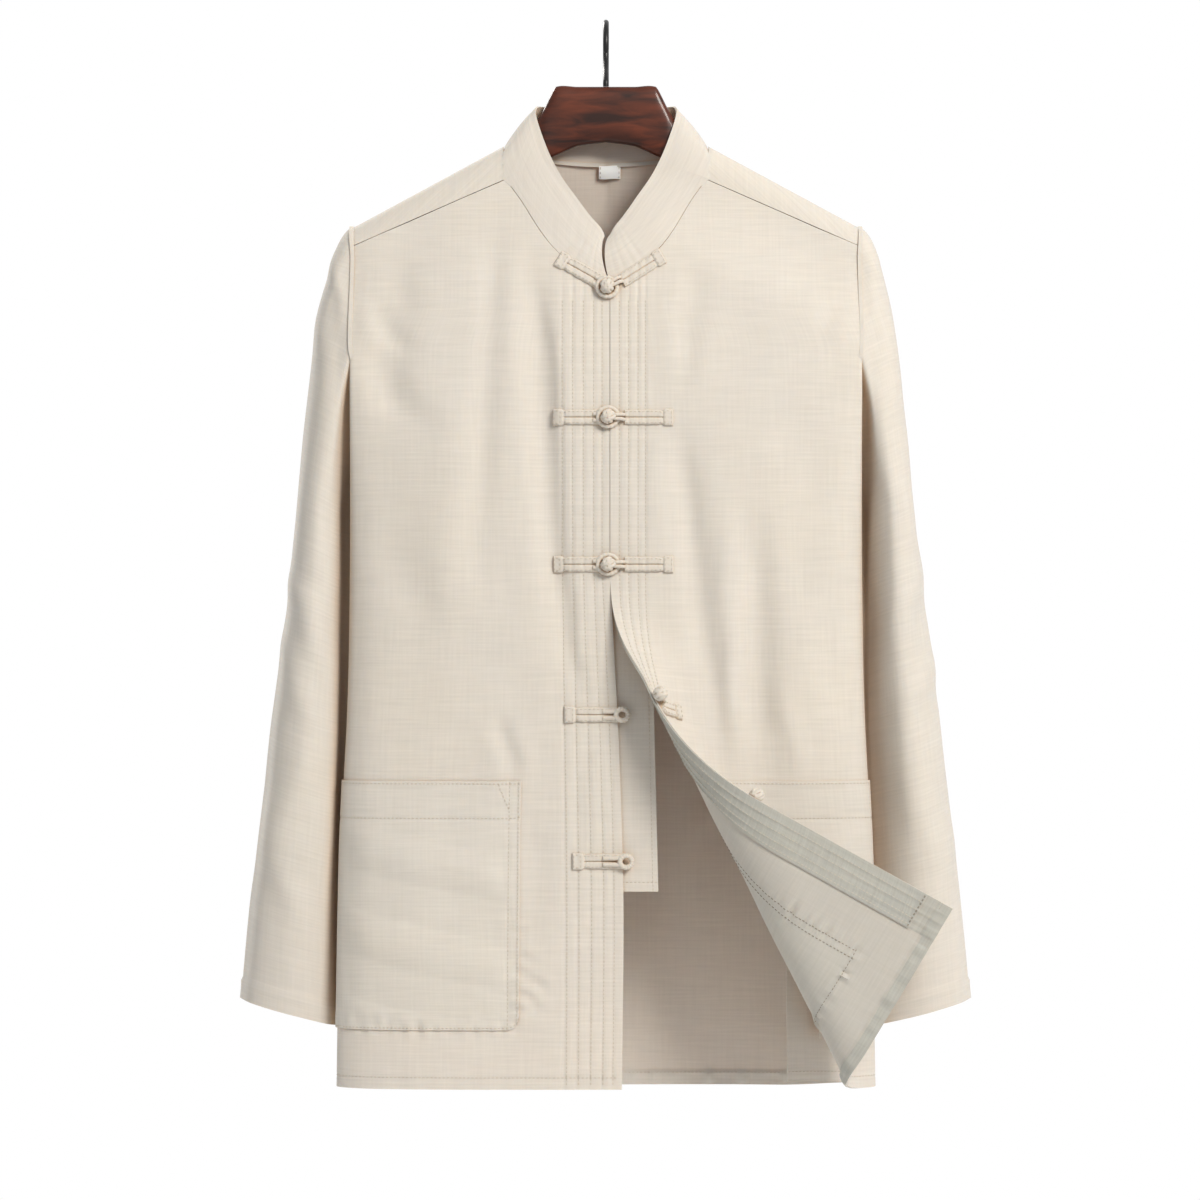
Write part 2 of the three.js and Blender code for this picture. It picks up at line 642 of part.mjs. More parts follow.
// The sleeves grow from the armhole edges of the panels
function armhole(side) {
  const front = panels[side < 0 ? "right_front" : "left_front"].grid;
  const seamColumn = FRONT_COLUMNS.length - 1;
  const frontEdge = front.slice(0, CAP_ROWS + 1).map((line) => line[seamColumn]);
  const backColumn = side < 0 ? 0 : backPanel[0].length - 1;
  const backRows = SHOULDER_DROPS.length + BACK_CAP_ROWS;
  const backEdge = backPanel.slice(0, backRows).map((line) => line[backColumn]);
  const tipRow = SHOULDER_DROPS.indexOf(0);
  return {
    front: [...backEdge.slice(1, tipRow + 1).reverse(), ...frontEdge],
    back: backEdge.slice(tipRow),
  };
}

function sharesAlong(points) {
  const lengths = points.map((p, i) => (i ? p.distanceTo(points[i - 1]) : 0));
  const total = lengths.reduce((sum, length) => sum + length);
  let walked = 0;
  return lengths.map((length) => (walked += length) / total);
}

// A sleeve's section at a height: x and y by share from the outer edge to the tail
function sleeveSection(side, face, share, z) {
  const table = face < 0 ? SLEEVE_FRONT : SLEEVE_BACK;
  const outer = follow(SLEEVE_LINE, "z", "outer", z);
  const roll = follow(SLEEVE_ROLL, "z", side < 0 ? "right" : "left", z);
  const sink = follow(SLEEVE_ROLL, "z", side < 0 ? "right_sink" : "left_sink", z);
  const tail = follow(SLEEVE_LINE, "z", "tail", z);
  const half = follow(SLEEVE_LINE, "z", face < 0 ? "front" : "back", z);
  const out = follow(table, "share", "out", share);
  const into = follow(table, "share", "into", share);
  const x = mix(roll, outer, out) - (roll - tail) * (1 - into);
  const depth = follow(table, "share", "depth", share) + sink * follow(table, "share", "sink", share);
  return { x, y: face * half * depth, outer };
}

function sleeveLine(side, face, start, share) {
  const exit = (column) => follow(SLEEVE_CAP, "share", column, share);
  const begin = start.clone();
  const under = smooth(share, 0.6, 0.9);
  begin.x += side * mix(ARMHOLE_STEP.across, ARMHOLE_STEP.under, under);
  begin.z -= ARMHOLE_STEP.down * under;
  const middle = begin.clone().add(new THREE.Vector3(side * exit("x"), face * exit("y"), exit("z")));
  const lower = sleeveSection(side, face, share, SLEEVE_TOP_Z);
  const end = new THREE.Vector3(side * lower.x, lower.y, SLEEVE_TOP_Z);
  const cap = new THREE.QuadraticBezierCurve3(begin, middle, end).getPoints(SLEEVE_CAP_ROWS);
  const arm = steps(SLEEVE_TOP_Z, CUFF_Z, SLEEVE_ROWS).map((z) => {
    const section = sleeveSection(side, face, share, z);
    const tilt = CUFF_TILT * (section.outer - section.x) * smooth(z, SLEEVE_TOP_Z, CUFF_Z);
    return new THREE.Vector3(side * section.x, section.y, z - tilt);
  });
  return [...cap, ...arm];
}

for (const [name, side] of [
  ["right_sleeve", -1],
  ["left_sleeve", 1],
]) {
  const edges = armhole(side);
  const frontShares = sharesAlong(edges.front);
  const backShares = sharesAlong(edges.back);
  const frontLines = edges.front.map((p, i) => sleeveLine(side, -1, p, frontShares[i]));
  const backLines = edges.back.map((p, i) => sleeveLine(side, 1, p, backShares[i]));
  const around = [...frontLines, ...backLines.slice(1, -1).reverse(), backLines[0]];
  const grid = around[0].map((_, row) => around.map((line) => line[row]));
  const flip = side > 0;
  addPiece(name, clothWall(grid, gridNormals(grid, true, flip), true, flip), linen);
}

// The collar stands on the panels' neck edges and leans in
function neckEdge() {
  const neckColumn = FRONT_COLUMNS.findIndex((u) => shoulderX(u) >= NECK_SIDE - 1);
  const right = panels.right_front.grid[0].slice(0, neckColumn);
  const left = panels.left_front.grid[0].slice(0, neckColumn);
  const backX = backPanel[0].map((p) => Math.abs(p.x));
  const firstBack = backX.findIndex((x) => x < NECK_SIDE + 2);
  const back = backPanel[0].slice(firstBack, backPanel[0].length - firstBack);
  return [...right, ...back, ...left.reverse()];
}

function collarGrid() {
  const seam = neckEdge();
  const shares = sharesAlong(seam).map((share) => 2 * Math.min(share, 1 - share));
  const upper = seam.map((p, i) => {
    const side = i < seam.length / 2 ? -1 : 1;
    const at = (column) => follow(COLLAR_TOP, "share", column, shares[i]);
    return new THREE.Vector3(side * at("x"), at("y"), at("z"));
  });
  const { plain, side, from, to, blend } = COLLAR_LIFT;
  const lower = seam.map((p, i) => {
    const atSide = smooth(shares[i], from, from + blend) * (1 - smooth(shares[i], to - blend, to));
    const upward = upper[i].clone().sub(p).normalize();
    return p.clone().addScaledVector(upward, mix(plain, side, atSide));
  });
  return [0, ...steps(0, 1, COLLAR_ROWS)].map((t) => upper.map((p, i) => p.clone().lerp(lower[i], t)));
}
const collar = collarGrid();
addPiece("collar", clothWall(collar, gridNormals(collar, false, true), false, true), linen);

// The inner strip hangs just behind the fronts
const stripRows = [STRIP.topZ, ...steps(STRIP.topZ, STRIP.footZ, STRIP.rows)];
const strip = stripRows.map((z) => {
  const free = mix(STRIP.topX, STRIP.footX, (z - STRIP.topZ) / (STRIP.footZ - STRIP.topZ));
  return [STRIP.hiddenX, ...steps(STRIP.hiddenX, free, STRIP.columns)].map((x) => {
    const p = frontPoint(x < 0 ? -1 : 1, lineAt(shareAcross(Math.abs(x)), z), z);
    return new THREE.Vector3(x, p.y + WALL + STRIP.sink, z);
  });
});
addPiece("under_placket", clothWall(strip, gridNormals(strip, false, false), false, false), linen);

// Cord buttons
function frontLine(x, z) {
  const half = follow(BODY_WIDTH, "z", "half", z);
  return lineAt(follow(BODY_SECTION.slice(0, 6), "across", "share", Math.abs(x) / half), z);
}

// A point between the lines of a front panel's grid
function onPanelGrid(side, u, z) {
  const grid = panels[side < 0 ? "right_front" : "left_front"].grid;
  const column = Math.min(FRONT_COLUMNS.findLastIndex((line) => line <= u), FRONT_COLUMNS.length - 2);
  const t = (u - FRONT_COLUMNS[column]) / (FRONT_COLUMNS[column + 1] - FRONT_COLUMNS[column]);
  const top = frontTopZ(shoulderX(u));
  const heights = [top, ...steps(top, UNDERARM_Z, CAP_ROWS), ...BODY_ROWS];
  const row = Math.max(heights.findIndex((height) => height < z) - 1, 0);
  const down = (heights[row] - z) / (heights[row] - heights[row + 1]);
  const across = (i) => grid[i][column].clone().lerp(grid[i][column + 1], t);
  return across(row).lerp(across(row + 1), down);
}

// The cloth's point and outward direction at a flat place of a front
function frontPlace(side, x, z) {
  const at = (dx, dz) => onPanelGrid(side, frontLine(Math.max(side * (x + dx), 0), z + dz), z + dz);
  const point = at(0, 0);
  const across = at(side * NORMAL_REACH, 0).sub(point).multiplyScalar(side);
  const up = at(0, NORMAL_REACH).sub(at(0, -NORMAL_REACH));
  const normal = across.clone().cross(up).normalize();
  return { point, across: across.normalize(), normal };
}

// A bar sewn on a front between two places
function barOnFront(side, from, to) {
  const direction = new THREE.Vector2(to.x - from.x, to.z - from.z).normalize();
  const lines = [0, ...steps(0, 1, BAR_CELLS)].map((t) => {
    const x = mix(from.x, to.x, t);
    const z = mix(from.z, to.z, t);
    return [-1, 0, 1].map((edge) => {
      const away = edge * BAR_HALF_WIDTH;
      return frontPlace(side, x - direction.y * away, z + direction.x * away);
    });
  });
  const lift = (distance) =>
    lines.map((line) => line.map((at) => at.point.clone().addScaledVector(at.normal, distance)));
  const under = side < 0 ? BAR_LIFT : LEFT_BAR_LIFT;
  return wallBetween(lift(BAR_LIFT + BAR_THICKNESS), lift(under), false, true);
}

// A frame at a button's centre: along points from the button to its bar
function buttonFrame(centre, along, normal) {
  const across = new THREE.Vector3().crossVectors(normal, along).normalize();
  const square = new THREE.Vector3().crossVectors(across, normal).normalize();
  return new THREE.Matrix4().makeBasis(square, across, normal).setPosition(centre);
}

function loopEnd(frame, reach) {
  const ring = new THREE.TorusGeometry(LOOP_RADIUS, LOOP_CORD_RADIUS, 5, 14);
  ring.translate(0, 0, BAR_LIFT + LOOP_CORD_RADIUS + RING_REST);
  const neck = new THREE.BoxGeometry(reach, LOOP_NECK.width, LOOP_NECK.thickness);
  neck.translate(LOOP_RADIUS + reach / 2, 0, BAR_LIFT + BAR_THICKNESS / 2);
  return [ring, neck].map((shape) => shape.applyMatrix4(frame));
}

function knotEnd(frame) {
  const ball = new THREE.SphereGeometry(KNOT_RADIUS, 10, 7);
  ball.translate(0, 0, BAR_LIFT + KNOT_RADIUS);
  const { width, thickness } = KNOT_STEM;
  const stemMiddle = BAR_LIFT + 2 * LOOP_CORD_RADIUS + RING_REST + KNOT_STEM.over_loop + thickness / 2;
  const stemLength = KNOT_RISER.at + KNOT_RISER.length / 2 - KNOT_STEM.from;
  const stem = new THREE.BoxGeometry(stemLength, width, thickness);
  stem.translate(KNOT_STEM.from + stemLength / 2, 0, stemMiddle);
  const riserFoot = BAR_LIFT + KNOT_RISER.above_lift;
  const riser = new THREE.BoxGeometry(KNOT_RISER.length, width, stemMiddle - riserFoot);
  riser.translate(KNOT_RISER.at, 0, (stemMiddle + riserFoot) / 2);
  return [ball, stem, riser].map((shape) => shape.applyMatrix4(frame));
}

for (const frog of FROGS) {
  const rise = (frog.bar_rise * Math.PI) / 180;
  const slope = new THREE.Vector2(Math.cos(rise * BAR_STEEPER), Math.sin(rise * BAR_STEEPER));
  const middle = frontPlace(-1, Math.min(frog.centre, 0), frog.z);
  const centre = middle.point.clone();
  centre.x = frog.centre;
  const outward = middle.normal;
  const toRight = new THREE.Vector3(-slope.x, 0, slope.y);
  const loopStart = { x: frog.centre - LOOP_TO_BAR * slope.x, z: frog.z + LOOP_TO_BAR * slope.y };
  const run = (loopStart.x - frog.right_bar) * (slope.y / slope.x);
  const barInner = frog.worn_open ? { x: OPEN_BAR_START, z: frog.z } : loopStart;
  const rightBar = barOnFront(-1, barInner, { x: frog.right_bar, z: loopStart.z + run });
  const neck = frog.worn_open ? frog.centre - LOOP_RADIUS : LOOP_TO_BAR - LOOP_RADIUS + LOOP_NECK.overlap;
  const loop = loopEnd(buttonFrame(centre, toRight, outward), neck);
  addPiece("loop_" + frog.name, joined([rightBar, ...loop]), cordCloth);

  const knotX = frog.worn_open ? OPEN_KNOT_CENTRE : frog.centre;
  const start = { x: knotX + KNOT_TO_BAR * slope.x, z: frog.z + KNOT_TO_BAR * slope.y };
  const climb = (frog.left_bar - start.x) * (slope.y / slope.x);
  const leftBar = barOnFront(1, start, { x: frog.left_bar, z: start.z + climb });
  let frame = buttonFrame(centre, new THREE.Vector3(slope.x, 0, slope.y), outward);
  if (frog.worn_open) {
    const at = frontPlace(1, start.x, start.z);
    frame = buttonFrame(at.point.clone().addScaledVector(at.across, -KNOT_TO_BAR), at.across, at.normal);
  }
  addPiece("knot_" + frog.name, joined([leftBar, ...knotEnd(frame)]), cordCloth);
}

const labelGrid = [LABEL.topZ, LABEL.footZ].map((z) =>
  [-1, 1].map((edge) => {
    const x = LABEL.centreX + edge * LABEL.halfWidth;
    const drop = ridgeZ(0) - z;
    const p = backPoint(1, 0, drop);
    return new THREE.Vector3(x, p.y - WALL - LABEL.gap, z);
  }),
);
const labelInside = lifted(labelGrid, gridNormals(labelGrid, false, false), LABEL.thickness);
addPiece("neck_label", wallBetween(labelInside, labelGrid, false, true), labelCloth);

// The wooden hanger: rounded sections along the arms, closed at both ends
function hangerGeometry() {
  const stations = [...HANGER_LINE.slice(1).reverse().map((row) => ({ ...row, x: -row.x })), ...HANGER_LINE];
  const positions = [];
  for (const station of stations) {
    for (let corner = 0; corner < HANGER_CORNERS; corner += 1) {
      const angle = ((corner + 0.5) / HANGER_CORNERS) * 2 * Math.PI;
      const soften = (value) => Math.sign(value) * Math.abs(value) ** HANGER_SQUARENESS;
      const middle = (station.top + station.foot) / 2;
      const rise = ((station.top - station.foot) / 2) * soften(Math.sin(angle));
      positions.push(station.x, station.half * soften(Math.cos(angle)), middle + rise);
    }
  }
  const faces = [];
  const last = stations.length - 1;
  for (let i = 0; i < last; i += 1) {
    for (let j = 0; j < HANGER_CORNERS; j += 1) {
      const next = (j + 1) % HANGER_CORNERS;
      const [a, b] = [i * HANGER_CORNERS + j, i * HANGER_CORNERS + next];
      const [c, d] = [b + HANGER_CORNERS, a + HANGER_CORNERS];
      faces.push(a, b, c, a, c, d);
    }
  }
  for (let j = 1; j < HANGER_CORNERS - 1; j += 1) {
    faces.push(0, j + 1, j);
    faces.push(last * HANGER_CORNERS, last * HANGER_CORNERS + j, last * HANGER_CORNERS + j + 1);
  }
  const geometry = new THREE.BufferGeometry();
  geometry.setAttribute("position", new THREE.Float32BufferAttribute(positions, 3));
  geometry.setIndex(faces);
  return geometry;
}
addPiece("hanger_wood", hangerGeometry(), varnishedWood);

// The hook stands edge-on: its shank, its bend back and the crook that holds the hanger up
function hookGeometry() {
  const crook = (degrees) => {
    const angle = THREE.MathUtils.degToRad(degrees);
    const y = HOOK_RADIUS * Math.cos(angle);
    return new THREE.Vector3(0, y, HOOK_CENTRE_Z + HOOK_RADIUS * Math.sin(angle));
  };
  const path = new THREE.CatmullRomCurve3([
    new THREE.Vector3(0, 0, HANGER_LINE[0].top + SEAM_GAP),
    ...HOOK_SHANK.map((at) => new THREE.Vector3(0, at.y, at.z)),
    ...HOOK_ANGLES.map(crook),
  ]);
  const wire = new THREE.Shape();
  wire.absarc(0, 0, HOOK_WIRE_RADIUS, 0, 2 * Math.PI);
  return new THREE.ExtrudeGeometry(wire, {
    steps: HOOK_STEPS,
    curveSegments: HOOK_SIDES / 2,
    bevelEnabled: false,
    extrudePath: path,
  });
}
addPiece("hanger_hook", hookGeometry(), blackWire);

export default shirt;
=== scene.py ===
"""A tai chi shirt on a wooden hanger: its cloth, sewing, cord buttons, hanger, light and camera.

Metres, +Z up. +X is the wearer's left and the front faces -Y. The origin is the hook's inner top.
A face is -1 on the front and 1 on the back, a side is -1 on the wearer's right and 1 on the left.
"""
import math

import bpy
import numpy as np
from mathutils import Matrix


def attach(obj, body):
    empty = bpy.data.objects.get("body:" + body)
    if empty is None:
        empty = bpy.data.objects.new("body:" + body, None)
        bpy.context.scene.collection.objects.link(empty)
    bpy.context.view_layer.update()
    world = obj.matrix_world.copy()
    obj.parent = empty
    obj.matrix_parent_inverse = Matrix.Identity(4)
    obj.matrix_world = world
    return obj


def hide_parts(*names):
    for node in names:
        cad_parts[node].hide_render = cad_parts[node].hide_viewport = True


bl_info = {
    "name": "Tai chi shirt on a hanger",
    "version": (1, 0, 0),
    "blender": (4, 5, 0),
    "location": "View3D > Sidebar > Shirt",
    "description": "Makes a linen shirt with cord buttons, hanging on a wooden hanger",
    "category": "Add Mesh",
}

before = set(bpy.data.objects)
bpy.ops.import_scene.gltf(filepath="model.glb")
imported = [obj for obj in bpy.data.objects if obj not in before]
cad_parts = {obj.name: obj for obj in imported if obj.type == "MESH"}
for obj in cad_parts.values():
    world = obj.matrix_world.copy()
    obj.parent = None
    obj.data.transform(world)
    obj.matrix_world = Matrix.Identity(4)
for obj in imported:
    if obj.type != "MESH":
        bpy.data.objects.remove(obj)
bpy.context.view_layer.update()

# The cut of the body, as in the part's source
WALL = 0.0012
LAYER_GAP = 0.0005
SEAM_GAP = 0.0003
HEM_Z = -0.82
BACK_HEM_DROP = 0.008
UNDERARM_Z = -0.345
CAP_Z = -0.255
HALF_SHOULDER = 0.197
FRONT_EDGE_GAP = 0.0004
FOLD_SHARE = 0.76
SHOULDER_FOLD = {"share": 0.7, "top": -0.215}
SEAM_ACROSS = 0.68
NECK_SIDE = 0.079
FRONT_NECK_SIDE_Z = -0.121
SHOULDER_SEAM_FALL = 0.44
RIDGE_START_X = 0.092
RIDGE_START_Z = -0.1005
RIDGE_FALL = 0.541
RIDGE_ROUND = 0.022
RIDGE_HALF_AT_NECK = 0.01
RIDGE_HALF_AT_TIP = 0.018
DRAPE_SETTLED = 0.1

BODY_WIDTH = {
    "z": (-0.156, -0.385, -0.482, -0.537, -0.596, -0.647, -0.82),
    "half": (0.197, 0.197, 0.198, 0.1995, 0.2025, 0.2045, 0.2075),
}
BODY_DEPTH = {
    "z": (-0.1, -0.172, -0.203, -0.262, -0.33, -0.45, -0.6, -0.82),
    "front": (0.018, 0.03, 0.037, 0.046, 0.052, 0.057, 0.061, 0.065),
    "back": (0.036, 0.041, 0.044, 0.051, 0.056, 0.06, 0.062, 0.062),
}
# Half of the body's section: across and tuck give the width, full and edge the depth
BODY_SECTION = {
    "share": (0, 0.27, 0.5, 0.64, 0.72, 0.76, 0.8, 0.87, 1),
    "across": (0, 0.37, 0.7, 0.885, 0.975, 1, 1, 1, 1),
    "tuck": (0, 0, 0, 0, 0, 0, 0.05, 0.31, 1),
    "full": (1, 1.01, 0.93, 0.69, 0.33, 0, 0, 0, 0),
    "edge": (0, 0, 0.07, 0.31, 0.67, 1, 0.72, 0.44, 0),
}
FRONT_OF_SECTION = {key: column[:6] for key, column in BODY_SECTION.items()}
SIDE_FOLD = {"z": (-0.28, -0.4, -0.52), "depth": (0.85, 0.55, 0.55), "back_reach": (1, 0.95, 0.92)}
NECKLINE = {
    "x": (0, 0.02, 0.041, 0.052, 0.066, 0.079),
    "z": (-0.203, -0.194, -0.1745, -0.16, -0.137, -0.119),
}
FRONT_EDGE = {
    "z": (-0.42, -0.497, -0.556, -0.675, -0.82),
    "right": (0.003, 0.007, 0.01, 0.0135, 0.0123),
    "left": (0.003, 0.0034, 0.0046, 0.0046, 0.0046),
}
EDGE_SHIFT_SHARE = 0.3
BACK_NECK = {
    "x": (0, 0.02, 0.04, 0.058, 0.07, 0.075, 0.0765, 0.0775, 0.0783),
    "drop": (0.0543, 0.0432, 0.031, 0.0195, 0.011, 0.0045, 0, -0.005, -0.013),
}
SHOULDER_SEAM_DROP = -0.022

# Hair steps over which a front's direction is told
STEP_U = 0.002
STEP_Z = 0.0005

# Hanging folds of a face: top x, foot x, top z, foot z, width and depth; a ridge has a depth below 0
HANGING_FOLDS = {
    -1: (
        (-0.159, -0.168, -0.165, -0.335, 0.015, 0.004),
        (-0.084, -0.099, -0.125, -0.45, 0.011, 0.0035),
        (-0.06, -0.03, -0.155, -0.56, 0.011, 0.007),
        (-0.112, -0.128, -0.23, -0.56, 0.018, -0.003),
        (0.07, 0.066, -0.18, -0.27, 0.011, 0.0025),
        (0.054, 0.082, -0.29, -0.55, 0.011, 0.005),
        (0.115, 0.118, -0.36, -0.61, 0.014, 0.007),
        (0.092, 0.099, -0.35, -0.6, 0.011, -0.003),
    ),
    1: (
        (-0.118, -0.104, -0.19, -0.64, 0.016, 0.006),
        (-0.07, -0.062, -0.26, -0.83, 0.018, 0.004),
        (-0.012, 0.006, -0.15, -0.52, 0.02, 0.004),
        (0.058, 0.07, -0.23, -0.76, 0.017, 0.006),
        (0.122, 0.112, -0.2, -0.48, 0.015, 0.005),
    ),
}

# Smaller creases pressed in: from x and z, to x and z, half width and depth
FRONT_CREASES = (
    (-0.078, -0.53, -0.071, -0.592, 0.007, 0.0022),
    (-0.066, -0.729, -0.042, -0.748, 0.004, 0.0013),
    (-0.064, -0.744, -0.047, -0.762, 0.0035, 0.001),
    (-0.067, -0.714, -0.05, -0.725, 0.004, 0.0008),
    (-0.186, -0.21, -0.15, -0.26, 0.008, 0.0016),
    (-0.19, -0.24, -0.135, -0.33, 0.012, 0.0016),
    (-0.17, -0.36, -0.12, -0.52, 0.02, 0.0018),
    (-0.05, -0.2, -0.042, -0.34, 0.006, 0.0012),
    (-0.06, -0.6, -0.05, -0.72, 0.01, 0.0012),
    (-0.08, -0.79, -0.12, -0.815, 0.007, 0.001),
    (-0.036, -0.425, -0.023, -0.525, 0.006, 0.0026),
    (-0.02, -0.55, -0.028, -0.64, 0.005, 0.0014),
    (0.028, -0.32, 0.024, -0.41, 0.006, 0.001),
    (0.062, -0.21, 0.058, -0.3, 0.008, 0.0012),
    (0.184, -0.215, 0.14, -0.275, 0.009, 0.0016),
    (0.188, -0.25, 0.13, -0.34, 0.012, 0.0016),
    (0.15, -0.3, 0.16, -0.48, 0.018, 0.0018),
    (0.178, -0.42, 0.172, -0.56, 0.012, 0.0014),
    (0.098, -0.47, 0.094, -0.58, 0.007, -0.0018),
    (0.136, -0.5, 0.142, -0.6, 0.01, -0.0016),
)
BACK_CREASES = (
    (-0.18, -0.2, -0.11, -0.29, 0.012, 0.0024),
    (0.18, -0.2, 0.1, -0.28, 0.012, 0.0022),
    (-0.05, -0.115, -0.08, -0.19, 0.01, 0.0018),
    (0.052, -0.115, 0.085, -0.2, 0.011, 0.0018),
    (-0.16, -0.36, -0.13, -0.52, 0.015, 0.0022),
    (0.165, -0.34, 0.15, -0.5, 0.014, 0.0022),
    (-0.02, -0.5, 0.03, -0.58, 0.012, 0.0016),
    (-0.15, -0.6, -0.09, -0.64, 0.01, 0.0016),
    (0.14, -0.58, 0.07, -0.63, 0.011, 0.0018),
    (0.02, -0.66, 0.035, -0.8, 0.014, 0.002),
    (-0.13, -0.7, -0.12, -0.81, 0.012, 0.0018),
    (0.15, -0.68, 0.16, -0.8, 0.013, 0.0018),
)
SLEEVE_CREASES = (
    (-0.209, -0.175, -0.2, -0.235, 0.005, 0.0022),
    (-0.222, -0.2, -0.215, -0.32, 0.008, 0.0018),
    (-0.245, -0.42, -0.216, -0.5, 0.009, 0.0022),
    (-0.252, -0.47, -0.222, -0.55, 0.009, 0.0018),
    (-0.232, -0.55, -0.252, -0.66, 0.011, 0.002),
    (-0.262, -0.6, -0.24, -0.7, 0.01, 0.0018),
    (0.206, -0.18, 0.2, -0.24, 0.005, 0.0022),
    (0.22, -0.21, 0.214, -0.33, 0.008, 0.0018),
    (0.224, -0.34, 0.232, -0.44, 0.008, 0.0018),
    (0.244, -0.4, 0.22, -0.49, 0.009, 0.0022),
    (0.254, -0.48, 0.226, -0.56, 0.009, 0.002),
    (0.236, -0.54, 0.256, -0.67, 0.011, 0.002),
    (0.266, -0.62, 0.244, -0.72, 0.01, 0.0018),
)

# Waves in radians a metre, and the seeds of all that is uneven
RIPPLE = {"waves": 6, "across": (45, 130), "down": (-28, 28)}
JITTER = {"waves": 4, "pace": (350, 1100)}
SEEDS = {
    "front": 5, "back": 11, "sleeve": 41, "collar": 61, "strip": 83,
    "row_pucker": 20, "row_firm": 50, "hem_row": 31, "hem_wave": 33, "hem_fold": 37,
    "beside_pocket": 35, "under_pocket": 36,
    "pocket_foot": 71, "pocket_side": 73, "pocket_band": 77, "pocket_top": 79,
    "bar_height": 91, "bar_edge": 93,
}
RIPPLE_SIZE = {"front": 0.0011, "back": 0.0012, "sleeve": 0.0013, "collar": 0.0004, "strip": 0.0004}
CREASE_SWAY = 0.35
CREASE_RIM = {"height": 0.35, "away": 1.7}

# The turned-back left front: a cone whose tip lies past the hem
PEEL_TIP = (0.2676, -0.9812)
PEEL_START = math.radians(110.5)
PEEL_CONE = math.radians(6.07)
PEEL_WRAP = math.radians(180.6)
PEEL_FLATTEN = 0.72
PEEL_FROM_Z = -0.425
PEEL_FULL_Z = -0.52

# Sewn rows, by distance from the free edge or from the fold
FRONT_ROWS = {-1: (0.0054, 0.0115, 0.019, 0.0268, 0.0345), 1: (0.0077, 0.0153, 0.023, 0.029)}
ROW_WIDTH = 0.0014
ROW_DIP = {"depth": 0.00055, "pucker": 0.6, "pucker_pace": 0.6, "firm": 0.5, "firm_pace": 0.04}
HEM_DIP = 0.0003
HEM_PUCKER = {"size": 0.002, "from_hem": 0.006, "width": 0.005}
CUFF_DIP = 0.0004
HEM_WAVE = {"size": 0.0005, "pace": 0.35, "reach": 0.03}
NEAR_EDGE = {"calmer": 0.35, "reach": (0.036, 0.044)}
CALM_AT_FOLD = (0.68, 0.8)
HEM_STITCH = 0.009
CUFF_STITCH = 0.013
FACING_LINE = 0.114
FACING_TOP_Z = -0.4476
HEM_FOLD_Z = -0.798
POCKET_LINE = 0.237
POCKET_TOP_Z = -0.5845
POCKET_FOOT_Z = -0.7747
POCKET_BAND = 0.029
POCKET_CORNER = 0.009
POCKET_WIDTH = 0.138
POCKET_BAG = 0.0022
POCKET_SAG = {"size": 0.0024, "apart": 0.067}
# Distances of the two rows along a pocket's inner edge
POCKET_ROWS = (0.0016, 0.0075)
# Puckers of the panel round a pocket, by side: size and pace
PANEL_PUCKERS = {-1: (0.0014, 0.6), 1: (0.0022, 0.95)}
PUCKER_REACH = 0.006

SLEEVE_LINE = {
    "z": (-0.375, -0.446, -0.523, -0.6, -0.676, -0.755),
    "outer": (0.2395, 0.247, 0.257, 0.266, 0.275, 0.282),
    "tail": (0.172, 0.171, 0.17, 0.169, 0.168, 0.167),
    "front": (0.043, 0.045, 0.043, 0.04, 0.036, 0.029),
    "back": (0.051, 0.053, 0.05, 0.045, 0.038, 0.03),
    "right_roll": (0.2095, 0.21, 0.211, 0.213, 0.216, 0.216),
    "right_sink": (0.78, 0.78, 0.78, 0.78, 0.78, 0.78),
    "left_roll": (0.206, 0.205, 0.206, 0.21, 0.214, 0.218),
    "left_sink": (0.6, 0.42, 0.4, 0.4, 0.5, 0.7),
}
SLEEVE_TOP_Z = -0.375
CUFF_Z = -0.755
CUFF_TILT = 0.275
SLEEVE_SECTION = {
    -1: {
        "share": (0, 0.2, 0.38, 0.54, 0.72, 1),
        "out": (1, 0.82, 0.42, 0, 0, 0),
        "into": (1, 1, 1, 1, 0.78, 0),
        "depth": (0, 0.72, 1, 0, 0.2, -0.06),
        "sink": (0, 0, 0, 1, 0, 0),
    },
    1: {
        "share": (0, 0.22, 0.42, 0.6, 0.78, 1),
        "out": (1, 0.84, 0.4, 0, 0, 0),
        "into": (1, 1, 1, 0.85, 0.42, 0),
        "depth": (0, 0.7, 1, 0.8, 0.34, 0.06),
        "sink": (0, 0, 0, 0, 0, 0),
    },
}
SLEEVE_CAP = {
    "share": (0, 0.25, 0.45, 0.7, 1),
    "x": (0.025, 0.018, 0.012, 0.012, 0.02),
    "y": (0, 0.008, 0.003, -0.007, 0),
    "z": (-0.009, -0.03, -0.038, -0.032, -0.018),
}
ARMHOLE_STEP = {"across": 0.0005, "under": 0.0006, "down": 0.0004}
TUCK = {"sink": 0.0013, "reach": 0.003}

COLLAR_TOP = {
    "share": (0, 0.09, 0.2, 0.32, 0.44, 0.54, 0.63, 0.74, 0.87, 1),
    "x": (0.0016, 0.0055, 0.013, 0.023, 0.036, 0.0465, 0.055, 0.047, 0.025, 0),
    "y": (-0.025, -0.025, -0.023, -0.02, -0.016, -0.013, -0.001, 0.01, 0.0155, 0.0185),
    "z": (-0.165, -0.158, -0.149, -0.135, -0.116, -0.094, -0.066, -0.062, -0.0615, -0.062),
}
COLLAR_LIFT = 0.0004
COLLAR_OVER = 0.002
